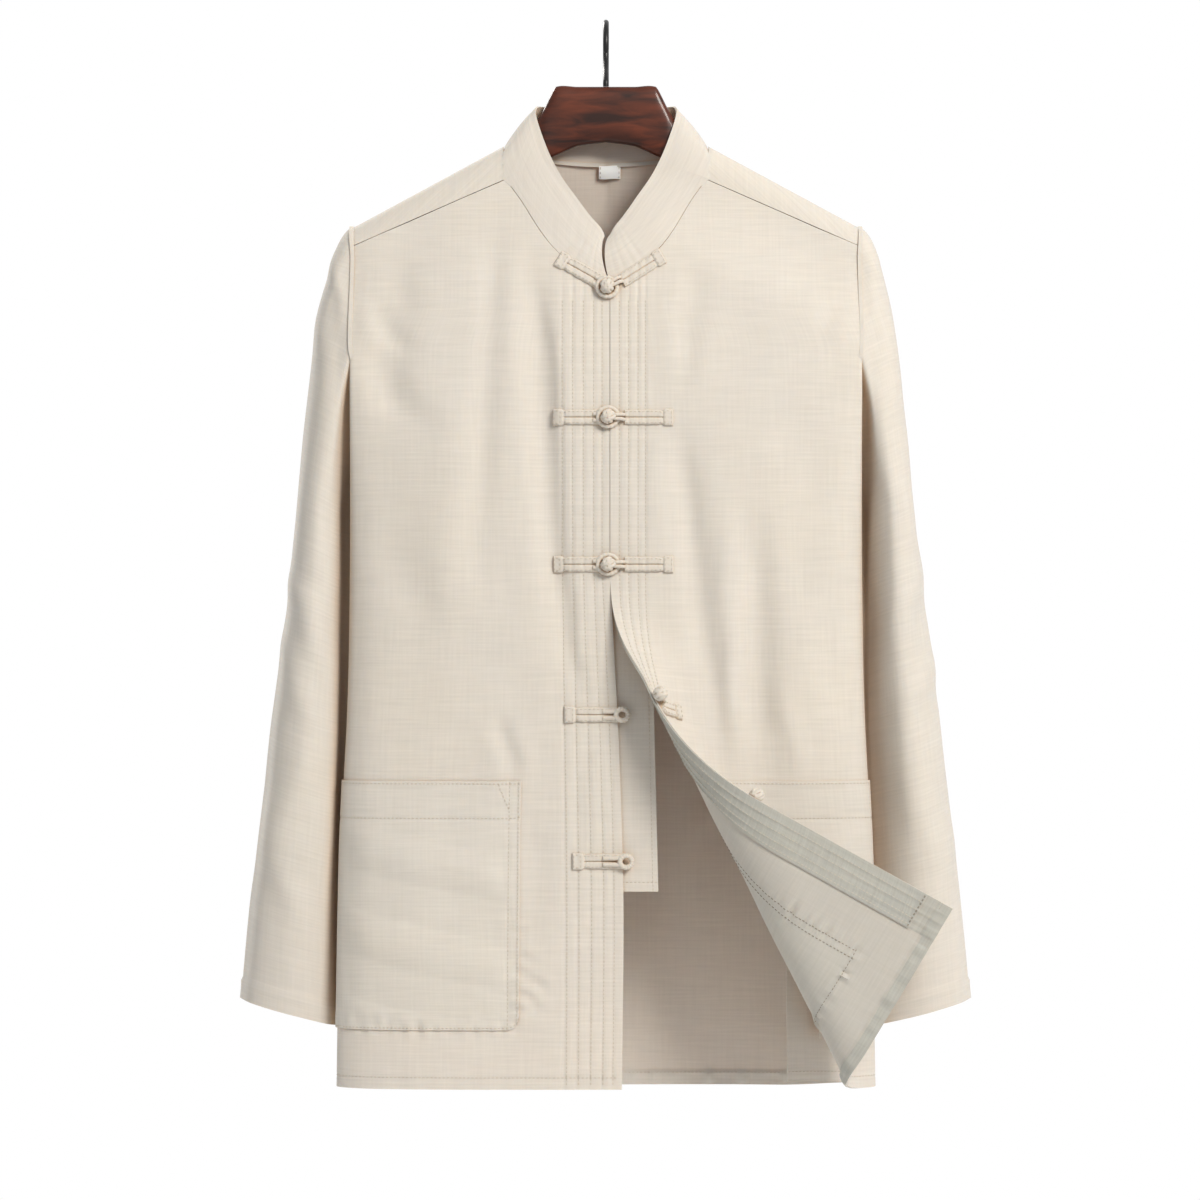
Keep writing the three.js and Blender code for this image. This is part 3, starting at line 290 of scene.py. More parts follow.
# The wavy line where the collar's ends meet
COLLAR_GAP = {
    "z": (-0.158, -0.164, -0.17, -0.181, -0.1925, -0.2),
    "x": (0.0015, 0.001, -0.002, -0.0036, -0.0028, -0.0008),
}
COLLAR_GAP_FADE = 0.014
COLLAR_BOW = 0.0011
# A row sewn along the collar's upper edge, by share of its height
COLLAR_DIP = {"depth": 0.0003, "at": 0.12, "width": 0.03}

STRIP = {
    "hidden_x": -0.026, "top_z": -0.216, "foot_z": -0.669, "top_x": 0.029, "foot_x": 0.04, "sink": 0.0017,
    "dip": 0.0003, "row_from_edge": 0.004,
}

# Cord buttons: height, centre, ends of the right and left bars, slope, and whether worn open
CLOSURES = (
    (-0.206, 0.0008, -0.038, 0.043, math.radians(22), False),
    (-0.306, 0.0015, -0.041, 0.051, 0.0, False),
    (-0.4188, 0.0015, -0.041, 0.051, 0.0, False),
    (-0.5338, 0.0115, -0.035, 0.051, 0.0, True),
    (-0.6458, 0.0145, -0.031, 0.051, 0.0, True),
)
CLOSURE_STEEPER = 1.4
OPEN_KNOT_CENTRE = 0.0015
OPEN_BAR_START = 0.001
KNOT_RADIUS = 0.0061
KNOT_STRANDS = ((1, 0.2, 0.25), (-0.4, 1, 0.3), (0.75, -0.75, 0.6))
STRAND_OFFSETS = (-0.33, 0.3)
STRAND_HALF = 0.3
LOOP_RADIUS = 0.0076
LOOP_CORD_RADIUS = 0.0018
OPEN_LOOP = {"radius": 0.0046, "cord": 0.002, "shift": 0.0007}
BAR_HALF_WIDTH = 0.0057
BAR_LIFT = 0.0009
RING_REST = 0.0004
KNOT_TO_BAR = 0.0106
LOOP_TO_BAR = 0.0074

HANGER_LINE = {
    "x": (0, 0.022, 0.039, 0.048, 0.052, 0.058, 0.066, 0.076, 0.092, 0.13, 0.17, 0.186, 0.19),
    "top": (-0.0475, -0.0475, -0.0475, -0.0645, -0.0715, -0.087, -0.098, -0.106, -0.112, -0.131, -0.152, -0.161,
            -0.165),
    "foot": (-0.0905, -0.0935, -0.101, -0.105, -0.107, -0.11, -0.116, -0.122, -0.13, -0.15, -0.17, -0.177,
             -0.174),
    "half": (0.0066, 0.0066, 0.0066, 0.0066, 0.0058, 0.006, 0.0066, 0.007, 0.008, 0.01, 0.0115, 0.0105, 0.0065),
}
HANGER_SQUARENESS = 0.6
HOOK_WIRE_RADIUS = 0.0023
HOOK_RADIUS = 0.019
HOOK_SHANK = ((0, 0, -0.0472), (0, 0.0002, -0.0435), (0, 0.0045, -0.0385), (0, 0.012, -0.0315))
HOOK_ANGLES = (-20, 10, 40, 65, 90, 115, 140, 170, 200)

LABEL = {"x": 0.003, "half": 0.0084, "top": -0.107, "foot": -0.117, "gap": 0.0038}


def length(name, description, default):
    """A setting in metres."""
    return bpy.props.FloatProperty(
        name=name, description=description, default=default, unit="LENGTH", precision=5
    )


def colour(name, description, default):
    """A setting that is a colour."""
    return bpy.props.FloatVectorProperty(name=name, description=description, default=default, subtype="COLOR")


class ShirtSizes(bpy.types.PropertyGroup):
    """Sizes of the cloth and of its sewing"""

    cloth: length("Cloth", "Thickness of one layer of linen", 0.0009)
    hem: length("Hem", "Thickness of a turned hem", 0.0018)
    stitch_pitch: length("Stitch pitch", "Distance from stitch to stitch", 0.0031)
    stitch_length: length("Stitch length", "Length of thread that shows", 0.0021)
    thread: length("Thread", "Radius of the sewing thread", 0.00024)


class ShirtColours(bpy.types.PropertyGroup):
    """Colours of the cloths, the thread and the hanger"""

    linen: colour("Linen", "Off-white linen", (0.6, 0.558, 0.5))
    # Painted shade: the inside is the linen darkened, standing for the shade on the turned-back front's
    # underside
    inside: colour("Inside", "Duller inside of the turned-back front", (0.47, 0.45, 0.405))
    # The facing is a greyer linen, darkened further as painted shade of the turned-back front's underside
    facing: colour("Facing", "Greyer linen of the facing", (0.405, 0.4, 0.362))
    cord: colour("Cord", "Folded tape of the closures", (0.59, 0.545, 0.48))
    thread: colour("Thread", "Sewing thread", (0.55, 0.5, 0.42))
    shaded_thread: colour("Inner thread", "Thread of the inner seams, in shade", (0.26, 0.235, 0.195))
    label: colour("Label", "Blank woven label", (0.95, 0.94, 0.91))
    wood: colour("Wood", "Varnished wood", (0.055, 0.011, 0.0035))
    wire: colour("Wire", "Black hook", (0.012, 0.012, 0.013))
    floor: colour("Floor", "Pale studio floor", (0.8, 0.8, 0.79))


def smooth(value, start, end):
    """A soft step from 0 at the start to 1 at the end: three times the square less twice the cube."""
    t = np.clip((value - start) / (end - start), 0, 1)
    return t * t * (3 - 2 * t)


def bell(away, width):
    """A soft bump: 1 in the middle, a third at its width and next to nothing at twice that."""
    return np.exp(-((away / width) ** 2))


def nearest(values, wanted):
    """Which of the values comes nearest to the wanted one."""
    return int(np.argmin(np.abs(values - wanted)))


def mix(a, b, t):
    """The point a share t of the way from a to b."""
    return a + (b - a) * t


def follow(table, key, column, value):
    """A smooth curve through a table's rows: cubic spans whose slopes join each row's two neighbours."""
    places = np.asarray(table[key], float)
    heights = np.asarray(table[column], float)
    sign = np.sign(places[-1] - places[0])
    places = sign * places
    wanted = np.clip(sign * np.asarray(value, float), places[0], places[-1])
    last = len(places) - 1
    i = np.clip(np.searchsorted(places, wanted) - 1, 0, last - 1)
    before = np.maximum(np.arange(last + 1) - 1, 0)
    after = np.minimum(np.arange(last + 1) + 1, last)
    slopes = (heights[after] - heights[before]) / (places[after] - places[before])
    span = places[i + 1] - places[i]
    t = (wanted - places[i]) / span
    from_end = t * t * (3 - 2 * t)
    pulls = t * (1 - t) ** 2 * span * slopes[i] + t * t * (t - 1) * span * slopes[i + 1]
    return (1 - from_end) * heights[i] + from_end * heights[i + 1] + pulls


def unit(vectors):
    """Vectors scaled to length 1."""
    return vectors / np.maximum(np.linalg.norm(vectors, axis=-1, keepdims=True), 1e-12)


def stacked(x, y, z):
    """Three coordinate arrays as one array of points."""
    return np.stack(np.broadcast_arrays(x, y, z), axis=-1)


def grid_normals(grid, closed=False, turn=1):
    """Directions square to a grid: the step down crossed with the step across, turned outward."""
    if closed:
        across = np.roll(grid, -1, axis=1) - np.roll(grid, 1, axis=1)
    else:
        across = np.gradient(grid, axis=1)
    down = np.gradient(grid, axis=0)
    return unit(turn * np.cross(across, down))


def relaxed(grid, rounds):
    """Points averaged with those above and below, the ends kept, to round off kinks down a grid."""
    grid = grid.copy()
    for _ in range(rounds):
        grid[1:-1] = 0.5 * grid[1:-1] + 0.25 * (grid[:-2] + grid[2:])
    return grid


def walked(points, axis):
    """Distance walked along an axis of a grid of points, from its first line."""
    lengths = np.linalg.norm(np.diff(points, axis=axis), axis=-1)
    first = np.zeros_like(np.take(lengths, [0], axis=axis))
    return np.concatenate([first, np.cumsum(lengths, axis=axis)], axis=axis)


def resampled(points, count):
    """A line of points walked again in equal steps."""
    length = walked(points, 0)
    wanted = np.linspace(0, length[-1], count)
    return np.stack([np.interp(wanted, length, points[:, k]) for k in range(3)], axis=-1)


def ripple(x, z, size, seed):
    """Slow uneven waves of the cloth, mostly upright: a seeded sum of sines in x and z."""
    dice = np.random.default_rng(seed)
    total = 0.0
    for _ in range(RIPPLE["waves"]):
        wave_x = dice.uniform(*RIPPLE["across"])
        wave_z = dice.uniform(*RIPPLE["down"])
        total = total + np.sin(x * wave_x + z * wave_z + dice.uniform(0, 2 * np.pi))
    return size * total / RIPPLE["waves"]


def jitter(place, seed):
    """Small uneven puckers along a seam: a seeded sum of short sines, from -1 to 1."""
    dice = np.random.default_rng(seed)
    total = 0.0
    for _ in range(JITTER["waves"]):
        total = total + np.sin(place * dice.uniform(*JITTER["pace"]) + dice.uniform(0, 2 * np.pi))
    return total / JITTER["waves"]


def crease_relief(creases, x, z):
    """How far creases press the cloth in: a bell across each line, wavering, fading out at both ends."""
    relief = np.zeros(np.broadcast(x, z).shape)
    for number, (from_x, from_z, to_x, to_z, width, depth) in enumerate(creases):
        along_x, along_z = to_x - from_x, to_z - from_z
        length = math.hypot(along_x, along_z)
        t = ((x - from_x) * along_x + (z - from_z) * along_z) / length**2
        sway = CREASE_SWAY * width * np.sin(7 * t + number)
        across = ((x - from_x) * along_z - (z - from_z) * along_x) / length - sway
        fade = smooth(t, -0.1, 0.35) * (1 - smooth(t, 0.6, 1.1))
        rim = CREASE_RIM["height"] * bell(np.abs(across) - CREASE_RIM["away"] * width, width)
        relief -= depth * (bell(across, width) - rim) * fade
    return relief


def ridge_z(x):
    """Height of the shoulder's ridge over the hanger: a straight fall from the neck."""
    return RIDGE_START_Z - RIDGE_FALL * (x - RIDGE_START_X)


def fold_depth(face, x, z):
    """How deep the hanging folds press in: bells across slanting lines, growing and dying away downward."""
    depth = 0.0
    for top_x, foot_x, top, foot, width, size in HANGING_FOLDS[face]:
        t = np.clip((top - z) / (top - foot), 0, 1)
        line = bell(x - mix(top_x, foot_x, t), width)
        depth = depth + size * line * smooth(t, 0, 0.3) * (1 - smooth(t, 0.6, 1))
    return depth


def body_point(face, side, share, z):
    """The body's cloth: its section's width and depth by share, drawn in over the hanger near the ridge."""
    half = follow(BODY_WIDTH, "z", "half", z)
    depth = np.where(face < 0, follow(BODY_DEPTH, "z", "front", z), follow(BODY_DEPTH, "z", "back", z))
    reach = np.where(face < 0, 1.0, follow(SIDE_FOLD, "z", "back_reach", z))
    open_across = {
        "share": BODY_SECTION["share"],
        "x": np.array(BODY_SECTION["across"]) * (1 - np.array(BODY_SECTION["tuck"])),
    }
    x = half * (
        reach * follow(open_across, "share", "x", share)
        + SEAM_ACROSS * follow(BODY_SECTION, "share", "tuck", share)
    )
    edge_depth = follow(SIDE_FOLD, "z", "depth", z)
    y = depth * (
        follow(BODY_SECTION, "share", "full", share) + edge_depth * follow(BODY_SECTION, "share", "edge", share)
    )
    drop = np.maximum(ridge_z(x) - z, 0)
    over_hanger = mix(RIDGE_HALF_AT_NECK, RIDGE_HALF_AT_TIP, x / HALF_SHOULDER)
    rounded = np.sqrt(1 - (1 - np.minimum(drop / RIDGE_ROUND, 1)) ** 2)
    away = over_hanger * rounded + (y - over_hanger) * smooth(drop, 0, DRAPE_SETTLED)
    return stacked(side * x, face * np.maximum(away, SEAM_GAP / 2), z)


def column_ends(z):
    """Shares of the section at a panel's fold line and at its edge: the armhole above, the side seam below."""
    fold = mix(SHOULDER_FOLD["share"], FOLD_SHARE, smooth(z, SHOULDER_FOLD["top"], CAP_Z))
    edge = mix(FOLD_SHARE, 1, smooth(z, CAP_Z, UNDERARM_Z))
    return fold, edge


def share_at(u, z):
    """The share of the section at a panel's line u: straight up to the fold, and straight on to the edge."""
    fold, edge = column_ends(z)
    past = (u - FOLD_SHARE) / (1 - FOLD_SHARE)
    return np.where(u <= FOLD_SHARE, u * fold / FOLD_SHARE, mix(fold, edge, past))


def line_at(x, z):
    """The panel's line u at a distance x from the middle, before the side fold."""
    half = follow(BODY_WIDTH, "z", "half", z)
    share = follow(FRONT_OF_SECTION, "across", "share", np.abs(x) / half)
    return share * FOLD_SHARE / column_ends(z)[0]


def shoulder_x(u):
    """Distance from the middle at which a panel's line u reaches the shoulder."""
    return HALF_SHOULDER * follow(FRONT_OF_SECTION, "share", "across", share_at(u, 0.0))


def front_top_z(x):
    """The front's upper edge: the neckline's curve, then the straight shoulder seam."""
    seam = FRONT_NECK_SIDE_Z - SHOULDER_SEAM_FALL * (x - NECK_SIDE) - SEAM_GAP
    return np.where(x < NECK_SIDE - 0.0005, follow(NECKLINE, "x", "z", x), seam)


def peeled(points):
    """The left front turned back: flat cloth rolled round a cone by its angle from the tip, then flat again."""
    away = points - np.array((PEEL_TIP[0], 0, PEEL_TIP[1]))
    away[..., 1] = 0
    start = np.array((math.cos(PEEL_START), 0, math.sin(PEEL_START)))
    leftward = np.array((-math.sin(PEEL_START), 0, math.cos(PEEL_START)))
    reach = np.linalg.norm(away, axis=-1)
    turn = np.maximum(np.arctan2(away @ leftward, away @ start), 0)
    sine = math.sin(PEEL_CONE)
    axis = start * math.cos(PEEL_CONE) + np.array((0, -sine, 0))
    around = np.minimum(turn / sine, PEEL_WRAP)[..., None]
    lying = axis * (axis @ start)
    out = start * np.cos(around) + leftward * sine * np.sin(around) + lying * (1 - np.cos(around))
    along = unit(-start * np.sin(around) + leftward * sine * np.cos(around) + lying * np.sin(around))
    rest = np.maximum(turn - PEEL_WRAP * sine, 0)
    rolled = out * (reach * np.cos(rest))[..., None] + along * (reach * np.sin(rest))[..., None]
    target = stacked(
        PEEL_TIP[0] + rolled[..., 0],
        points[..., 1] + PEEL_FLATTEN * rolled[..., 1],
        PEEL_TIP[1] + rolled[..., 2],
    )
    amount = np.where(turn > 0, smooth(points[..., 2], PEEL_FROM_Z, PEEL_FULL_Z), 0)[..., None]
    return mix(points, target, amount)


def hanging_front(side, u, z):
    """A front before it is turned back: the body's cloth with its edge shifted and its folds pressed in."""
    share = share_at(u, z)
    points = body_point(-1, side, share, z)
    pull = np.maximum(1 - share / EDGE_SHIFT_SHARE, 0) ** 2
    edge = follow(FRONT_EDGE, "z", "right" if side < 0 else "left", z)
    points[..., 0] += pull * (edge + side * FRONT_EDGE_GAP / 2)
    fade = 1 - smooth(share, FOLD_SHARE - 0.1, FOLD_SHARE)
    points[..., 1] += fold_depth(-1, points[..., 0], z) * fade
    return points


def front_relief(side, u, z):
    """Fine relief of a front: creases, slow waves, and dips along its sewn rows and hem."""
    share = share_at(u, z)
    x = side * HALF_SHOULDER * follow(FRONT_OF_SECTION, "share", "across", share)
    relief = crease_relief(FRONT_CREASES, x, z) + ripple(x, z, RIPPLE_SIZE["front"], SEEDS["front"] + side)
    relief *= 1 - smooth(share, *CALM_AT_FOLD)
    from_edge = np.abs(x)
    relief *= 1 - NEAR_EDGE["calmer"] * (1 - smooth(from_edge, *NEAR_EDGE["reach"]))
    for number, row in enumerate(FRONT_ROWS[side]):
        pucker = 1 + ROW_DIP["pucker"] * jitter(ROW_DIP["pucker_pace"] * z, SEEDS["row_pucker"] + number)
        firm = 0.75 + ROW_DIP["firm"] * jitter(ROW_DIP["firm_pace"] * z, SEEDS["row_firm"] + 7 * number + side)
        relief -= ROW_DIP["depth"] * firm * pucker * bell(from_edge - row, ROW_WIDTH)
    from_hem = z - HEM_Z
    relief -= HEM_DIP * bell(from_hem - HEM_STITCH, ROW_WIDTH) * (1 + 0.5 * jitter(x, SEEDS["hem_row"]))
    relief += HEM_WAVE["size"] * jitter(HEM_WAVE["pace"] * x, SEEDS["hem_wave"]) * (
        1 - smooth(from_hem, 0, HEM_WAVE["reach"])
    )
    return relief + pocket_pucker(side, u, z, from_edge)


def pocket_pucker(side, u, z, from_edge):
    """Small puckers of the panel round the pocket's seam, strongest at its lower inner corner."""
    seam_x = follow(FRONT_OF_SECTION, "share", "across", POCKET_LINE) * HALF_SHOULDER
    beside = from_edge - seam_x
    above = z - POCKET_FOOT_Z
    upright = bell(beside, PUCKER_REACH) * smooth(above, -0.006, 0.002) * (1 - smooth(above, 0.05, 0.12))
    level = bell(above, PUCKER_REACH) * smooth(beside, -0.004, 0.002) * (1 - smooth(u, 0.65, 0.75))
    size, pace = PANEL_PUCKERS[side]
    upright = jitter(pace * z, SEEDS["beside_pocket"]) * upright
    level = jitter(pace * from_edge, SEEDS["under_pocket"]) * level
    return size * (upright + level)


def front_at(side, u, z, lift=0.0):
    """Points and outward directions of a worn front: neighbours a hair apart give the direction."""
    u, z = np.broadcast_arrays(np.asarray(u, float), np.asarray(z, float))

    def worn(u, z):
        points = hanging_front(side, u, z)
        return peeled(points) if side > 0 else points

    across = worn(np.minimum(u + STEP_U, 1), z) - worn(np.maximum(u - STEP_U, 0), z)
    down = worn(u, z - STEP_Z) - worn(u, z + STEP_Z)
    normals = unit(-side * np.cross(across, down))
    return worn(u, z) + normals * (front_relief(side, u, z) + lift)[..., None], normals


def back_at(u, drop):
    """Points and outward directions of the back by signed line u and drop behind the ridge, minus before it."""
    side = np.where(u < 0, -1, 1)
    u = np.abs(u)
    face = np.where(drop < 0, -1, 1)
    z = ridge_z(shoulder_x(u)) - np.abs(drop)
    share = share_at(u, z)
    points = body_point(face, side, share, z)
    fade = (1 - smooth(share, FOLD_SHARE - 0.1, FOLD_SHARE)) * (face > 0)
    points[..., 1] -= fold_depth(1, points[..., 0], z) * fade
    normals = grid_normals(points)
    x = points[..., 0]
    relief = crease_relief(BACK_CREASES, x, z) + ripple(x, z, RIPPLE_SIZE["back"], SEEDS["back"])
    relief *= smooth(drop, 0.012, 0.05)
    relief *= 1 - smooth(share, *CALM_AT_FOLD)
    relief -= HEM_DIP * bell(z - HEM_Z + BACK_HEM_DROP - HEM_STITCH, ROW_WIDTH)
    return points + normals * relief[..., None], normals


CLOTH_SHADER = {
    "Roughness": 0.88,
    "Sheen Weight": 0.12,
    "Sheen Roughness": 0.6,
    "Specular IOR Level": 0.18,
    "Subsurface Weight": 0.2,
    "Subsurface Radius": (1.0, 0.62, 0.36),
    "Subsurface Scale": 0.0025,
}
WOOD_SHADER = {"Roughness": 0.45, "Specular IOR Level": 0.25, "Coat Weight": 0.3, "Coat Roughness": 0.15}
# Noises of the weave, as how close they run across and along the cloth, and their detail
WEAVE_STREAKS = ((560, 22, 2), (28, 640, 3), (13, 330, 1), (9, 6, 3))
CLOUD_TINTS = ((0.965, 0.972, 0.985), (1, 0.993, 0.975))
# Painted shade: a warm dark tint multiplied in where an occlusion node finds cloth close by, in creases, gaps
# and recesses
PAINTED_SHADE_TINT = (1, 0.75, 0.52)
DENT_DEPTH = 0.0002


class Finish:
    """A material that is put together node by node: settings are values, or outputs of other nodes."""

    def __init__(self, name, **settings):
        self.material = bpy.data.materials.new(name)
        self.material.use_nodes = True
        self.tree = self.material.node_tree
        self.shader = self.tree.nodes["Principled BSDF"]
        self.set(self.shader, settings)

    def set(self, node, settings):
        """Sets a node's sockets; an underscore in a name stands for a space."""
        for name, value in settings.items():
            socket = node.inputs[name.replace("_", " ")]
            if isinstance(value, bpy.types.NodeSocket):
                self.tree.links.new(value, socket)
            else:
                socket.default_value = value

    def add(self, kind, output, options=None, **settings):
        """Adds a node with its options and sockets, and hands back one of its outputs."""
        node = self.tree.nodes.new(f"ShaderNode{kind}")
        for name, value in (options or {}).items():
            setattr(node, name, value)
        self.set(node, settings)
        return node.outputs[output]

    def math(self, operation, first, second):
        """A sum or a product of two values or outputs."""
        node = self.tree.nodes.new("ShaderNodeMath")
        node.operation = operation
        for socket, value in zip(node.inputs, (first, second)):
            if isinstance(value, bpy.types.NodeSocket):
                self.tree.links.new(value, socket)
            else:
                socket.default_value = value
        return node.outputs["Value"]

    def ramp(self, value, start, end, places=(0.0, 1.0)):
        """Two colours blended by a value between two places."""
        node = self.tree.nodes.new("ShaderNodeValToRGB")
        for element, place, shade in zip(node.color_ramp.elements, places, (start, end)):
            element.position = place
            element.color = (*(min(c, 1) for c in shade), 1)
        self.tree.links.new(value, node.inputs["Fac"])
        return node.outputs["Color"]

    def times(self, first, second):
        """One colour multiplied by another."""
        options = {"data_type": "RGBA", "blend_type": "MULTIPLY"}
        return self.add("Mix", "Result", options, Factor=1, A=first, B=second)

    def dent(self, height, strength):
        """Fine relief from a pattern's height."""
        normal = self.add("Bump", "Normal", Strength=strength, Distance=DENT_DEPTH, Height=height)
        self.set(self.shader, {"Normal": normal})

    def paint(self, colour):
        """Gives the shader its colour."""
        self.set(self.shader, {"Base Color": colour})


def scaled(colour, by):
    """A colour made darker or lighter."""
    return tuple(c * by for c in colour)


def cloth_material(name, colour, streaks=1.0):
    """Slubby plain weave: long thin noises both ways on its own UV darken and dent it; painted shade darkens
    its recesses.
    """
    finish = Finish(name, **CLOTH_SHADER)
    place = finish.add("UVMap", "UV", {"uv_map": "weave"})

    def streak(across, along, detail):
        turned = finish.add("Mapping", "Vector", Scale=(across, along, 1), Vector=place)
        return finish.add("TexNoise", "Fac", Scale=1, Detail=detail, Roughness=0.55, Vector=turned)

    warp, weft, slub, cloud = (streak(*row) for row in WEAVE_STREAKS)
    threads = finish.math("ADD", finish.math("MULTIPLY", warp, 0.35), finish.math("MULTIPLY", weft, 0.6))
    threads = finish.math("ADD", threads, finish.math("MULTIPLY", slub, 0.22))
    dark, light = 1 - 0.085 * streaks, 1 + 0.06 * streaks
    woven = finish.ramp(threads, scaled(colour, dark), scaled(colour, light), (0.4, 0.82))
    clouded = finish.times(woven, finish.ramp(cloud, *CLOUD_TINTS, (0.3, 0.7)))
    # Painted shade: occluded cloth is tinted warm and dark
    occlusion_shade = finish.add("AmbientOcclusion", "AO", {"samples": 3}, Distance=0.035)
    finish.paint(finish.times(clouded, finish.ramp(occlusion_shade, PAINTED_SHADE_TINT, (1, 1, 1), (0.05, 0.65))))
    finish.dent(threads, 0.4)
    return finish.material


def thread_material(name, colour):
    """Sewing thread: one colour broken by fine noise along object places."""
    finish = Finish(name, Roughness=0.7)
    place = finish.add("TexCoord", "Object")
    noise = finish.add("TexNoise", "Fac", Scale=900, Vector=place)
    finish.paint(finish.ramp(noise, scaled(colour, 0.75), colour))
    return finish.material


def wood_material(colour):
    """Varnished wood: long grain along X from stretched noise, under a clear gloss coat."""
    finish = Finish("varnished_wood", **WOOD_SHADER)
    place = finish.add("TexCoord", "Object")
    turned = finish.add("Mapping", "Vector", Scale=(12, 60, 60), Vector=place)
    grain = finish.add("TexNoise", "Fac", Scale=2.2, Detail=6, Distortion=0.6, Vector=turned)
    finish.paint(finish.ramp(grain, scaled(colour, 0.35), scaled(colour, 1.9), (0.32, 0.68)))
    finish.dent(grain, 0.25)
    return finish.material


def wire_material(colour):
    """Black painted wire: glossy paint with faint wear from noise in its roughness."""
    finish = Finish("black_wire", Base_Color=(*colour, 1), Metallic=0.3)
    place = finish.add("TexCoord", "Object")
    noise = finish.add("TexNoise", "Fac", Scale=160, Vector=place)
    wear = finish.add("MapRange", "Result", To_Min=0.25, To_Max=0.5, Value=noise)
    finish.set(finish.shader, {"Roughness": wear})
    return finish.material


FINISHES = {}


def finish_named(name):
    """The material of one finish, made once."""
    colours = bpy.context.scene.shirt_colours
    if name not in FINISHES:
        makers = {
            "linen": lambda: cloth_material("slubby_linen", colours.linen),
            # Painted shade: a darker copy of the linen
            "inside": lambda: cloth_material("shaded_linen_inside", colours.inside, 0.8),
            "facing": lambda: cloth_material("shaded_grey_facing", colours.facing, 1.6),
            "cord_cloth": lambda: cloth_material("folded_tape", colours.cord, 0.8),
            "label_cloth": lambda: cloth_material("label_weave", colours.label, 0.4),
            "thread": lambda: thread_material("sewing_thread", colours.thread),
            "shaded_thread": lambda: thread_material("shaded_inner_thread", colours.shaded_thread),
            "varnished_wood": lambda: wood_material(colours.wood),
            "black_wire": lambda: wire_material(colours.wire),
        }
        FINISHES[name] = makers[name]()
    return FINISHES[name]


class ShirtStep:
    """What the steps share: each makes its pieces with the sizes of the scene's settings."""

    def execute(self, context):
        self.make(context.scene.shirt_sizes)
        return {"FINISHED"}


class Shape:
    """Corners, faces and weave places that are gathered into one mesh."""

    def __init__(self):
        self.corners = []
        self.faces = []
        self.weave = []
        self.count = 0

    def add(self, corners, faces, weave=None):
        """Adds a closed part, turned right side out by the sign of its volume."""
        corners = np.asarray(corners, float).reshape(-1, 3)
        faces = [np.asarray(block, int) for block in faces]
        volume = 0.0
        for block in faces:
            fan = corners[block]
            for k in range(1, block.shape[1] - 1):
                volume += np.einsum("ij,ij->", fan[:, 0], np.cross(fan[:, k], fan[:, k + 1]))
        for block in faces:
            turned = block[:, ::-1] if volume < 0 else block
            self.faces.extend((turned + self.count).tolist())
        self.corners.append(corners)
        self.weave.append(corners[:, [0, 2]] if weave is None else np.asarray(weave, float).reshape(-1, 2))
        self.count += len(corners)

    def build(self, name, finish, sharp=50):
        """Makes the object at the origin, with its weave as a UV map, and lets it ride on the part."""
        mesh = bpy.data.meshes.new(name)
        mesh.from_pydata(np.concatenate(self.corners).tolist(), [], self.faces)
        mesh.update()
        places = np.empty(len(mesh.loops), int)
        mesh.loops.foreach_get("vertex_index", places)
        layer = mesh.uv_layers.new(name="weave")
        layer.data.foreach_set("uv", np.concatenate(self.weave)[places].ravel())
        mesh.polygons.foreach_set("use_smooth", np.ones(len(mesh.polygons), bool))
        mesh.set_sharp_from_angle(angle=math.radians(sharp))
        mesh.materials.append(finish_named(finish))
        made = bpy.data.objects.new(name, mesh)
        bpy.context.scene.collection.objects.link(made)
        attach(made, "root")
        return made


def ring_quads(rows, columns, joined=False):
    """Quads between closed rings of corners; joined also closes the last ring on the first."""
    spans = rows if joined else rows - 1
    i, j = np.meshgrid(np.arange(spans), np.arange(columns), indexing="ij")
    i, j = i.ravel(), j.ravel()
    after, beside = (i + 1) % rows, (j + 1) % columns
    return np.stack([i * columns + j, i * columns + beside, after * columns + beside, after * columns + j], 1)


def ring_solid(rows, columns):
    """The quads between rings, and one face on the first and on the last ring."""
    ring = np.arange(columns)
    return [ring_quads(rows, columns), ring[::-1][None], ((rows - 1) * columns + ring)[None]]


def shell_faces(rows, columns, closed):
    """Quads of a wall between two grids: the faces of both, the rims at top and foot, and the two sides."""
    spans = columns if closed else columns - 1
    i, j = np.meshgrid(np.arange(rows - 1), np.arange(spans), indexing="ij")
    i, j = i.ravel(), j.ravel()

    def at(layer, row, column):
        return (layer * rows + row) * columns + column % columns

    outer = np.stack([at(0, i, j), at(0, i, j + 1), at(0, i + 1, j + 1), at(0, i + 1, j)], 1)
    inner = np.stack([at(1, i, j), at(1, i + 1, j), at(1, i + 1, j + 1), at(1, i, j + 1)], 1)
    j = np.arange(spans)
    top = np.stack([at(0, 0, j), at(1, 0, j), at(1, 0, j + 1), at(0, 0, j + 1)], 1)
    end = rows - 1
    foot = np.stack([at(0, end, j), at(0, end, j + 1), at(1, end, j + 1), at(1, end, j)], 1)
    blocks = [outer, inner, top, foot]
    if not closed:
        i = np.arange(rows - 1)
        blocks.append(np.stack([at(0, i, 0), at(0, i + 1, 0), at(1, i + 1, 0), at(1, i, 0)], 1))
        blocks.append(np.stack([at(0, i, spans), at(1, i, spans), at(1, i + 1, spans), at(0, i + 1, spans)], 1))
    return blocks


def add_shell(shape, outside, inside, closed=False, weave=None):
    """A closed wall between two grids; its weave is the distance walked across and down."""
    rows, columns = outside.shape[:2]
    if weave is None:
        weave = np.stack([walked(outside, 1), walked(outside, 0)], axis=-1)
    both = np.concatenate([outside.reshape(-1, 3), inside.reshape(-1, 3)])
    flat = weave.reshape(-1, 2)
    shape.add(both, shell_faces(rows, columns, closed), np.concatenate([flat, flat]))


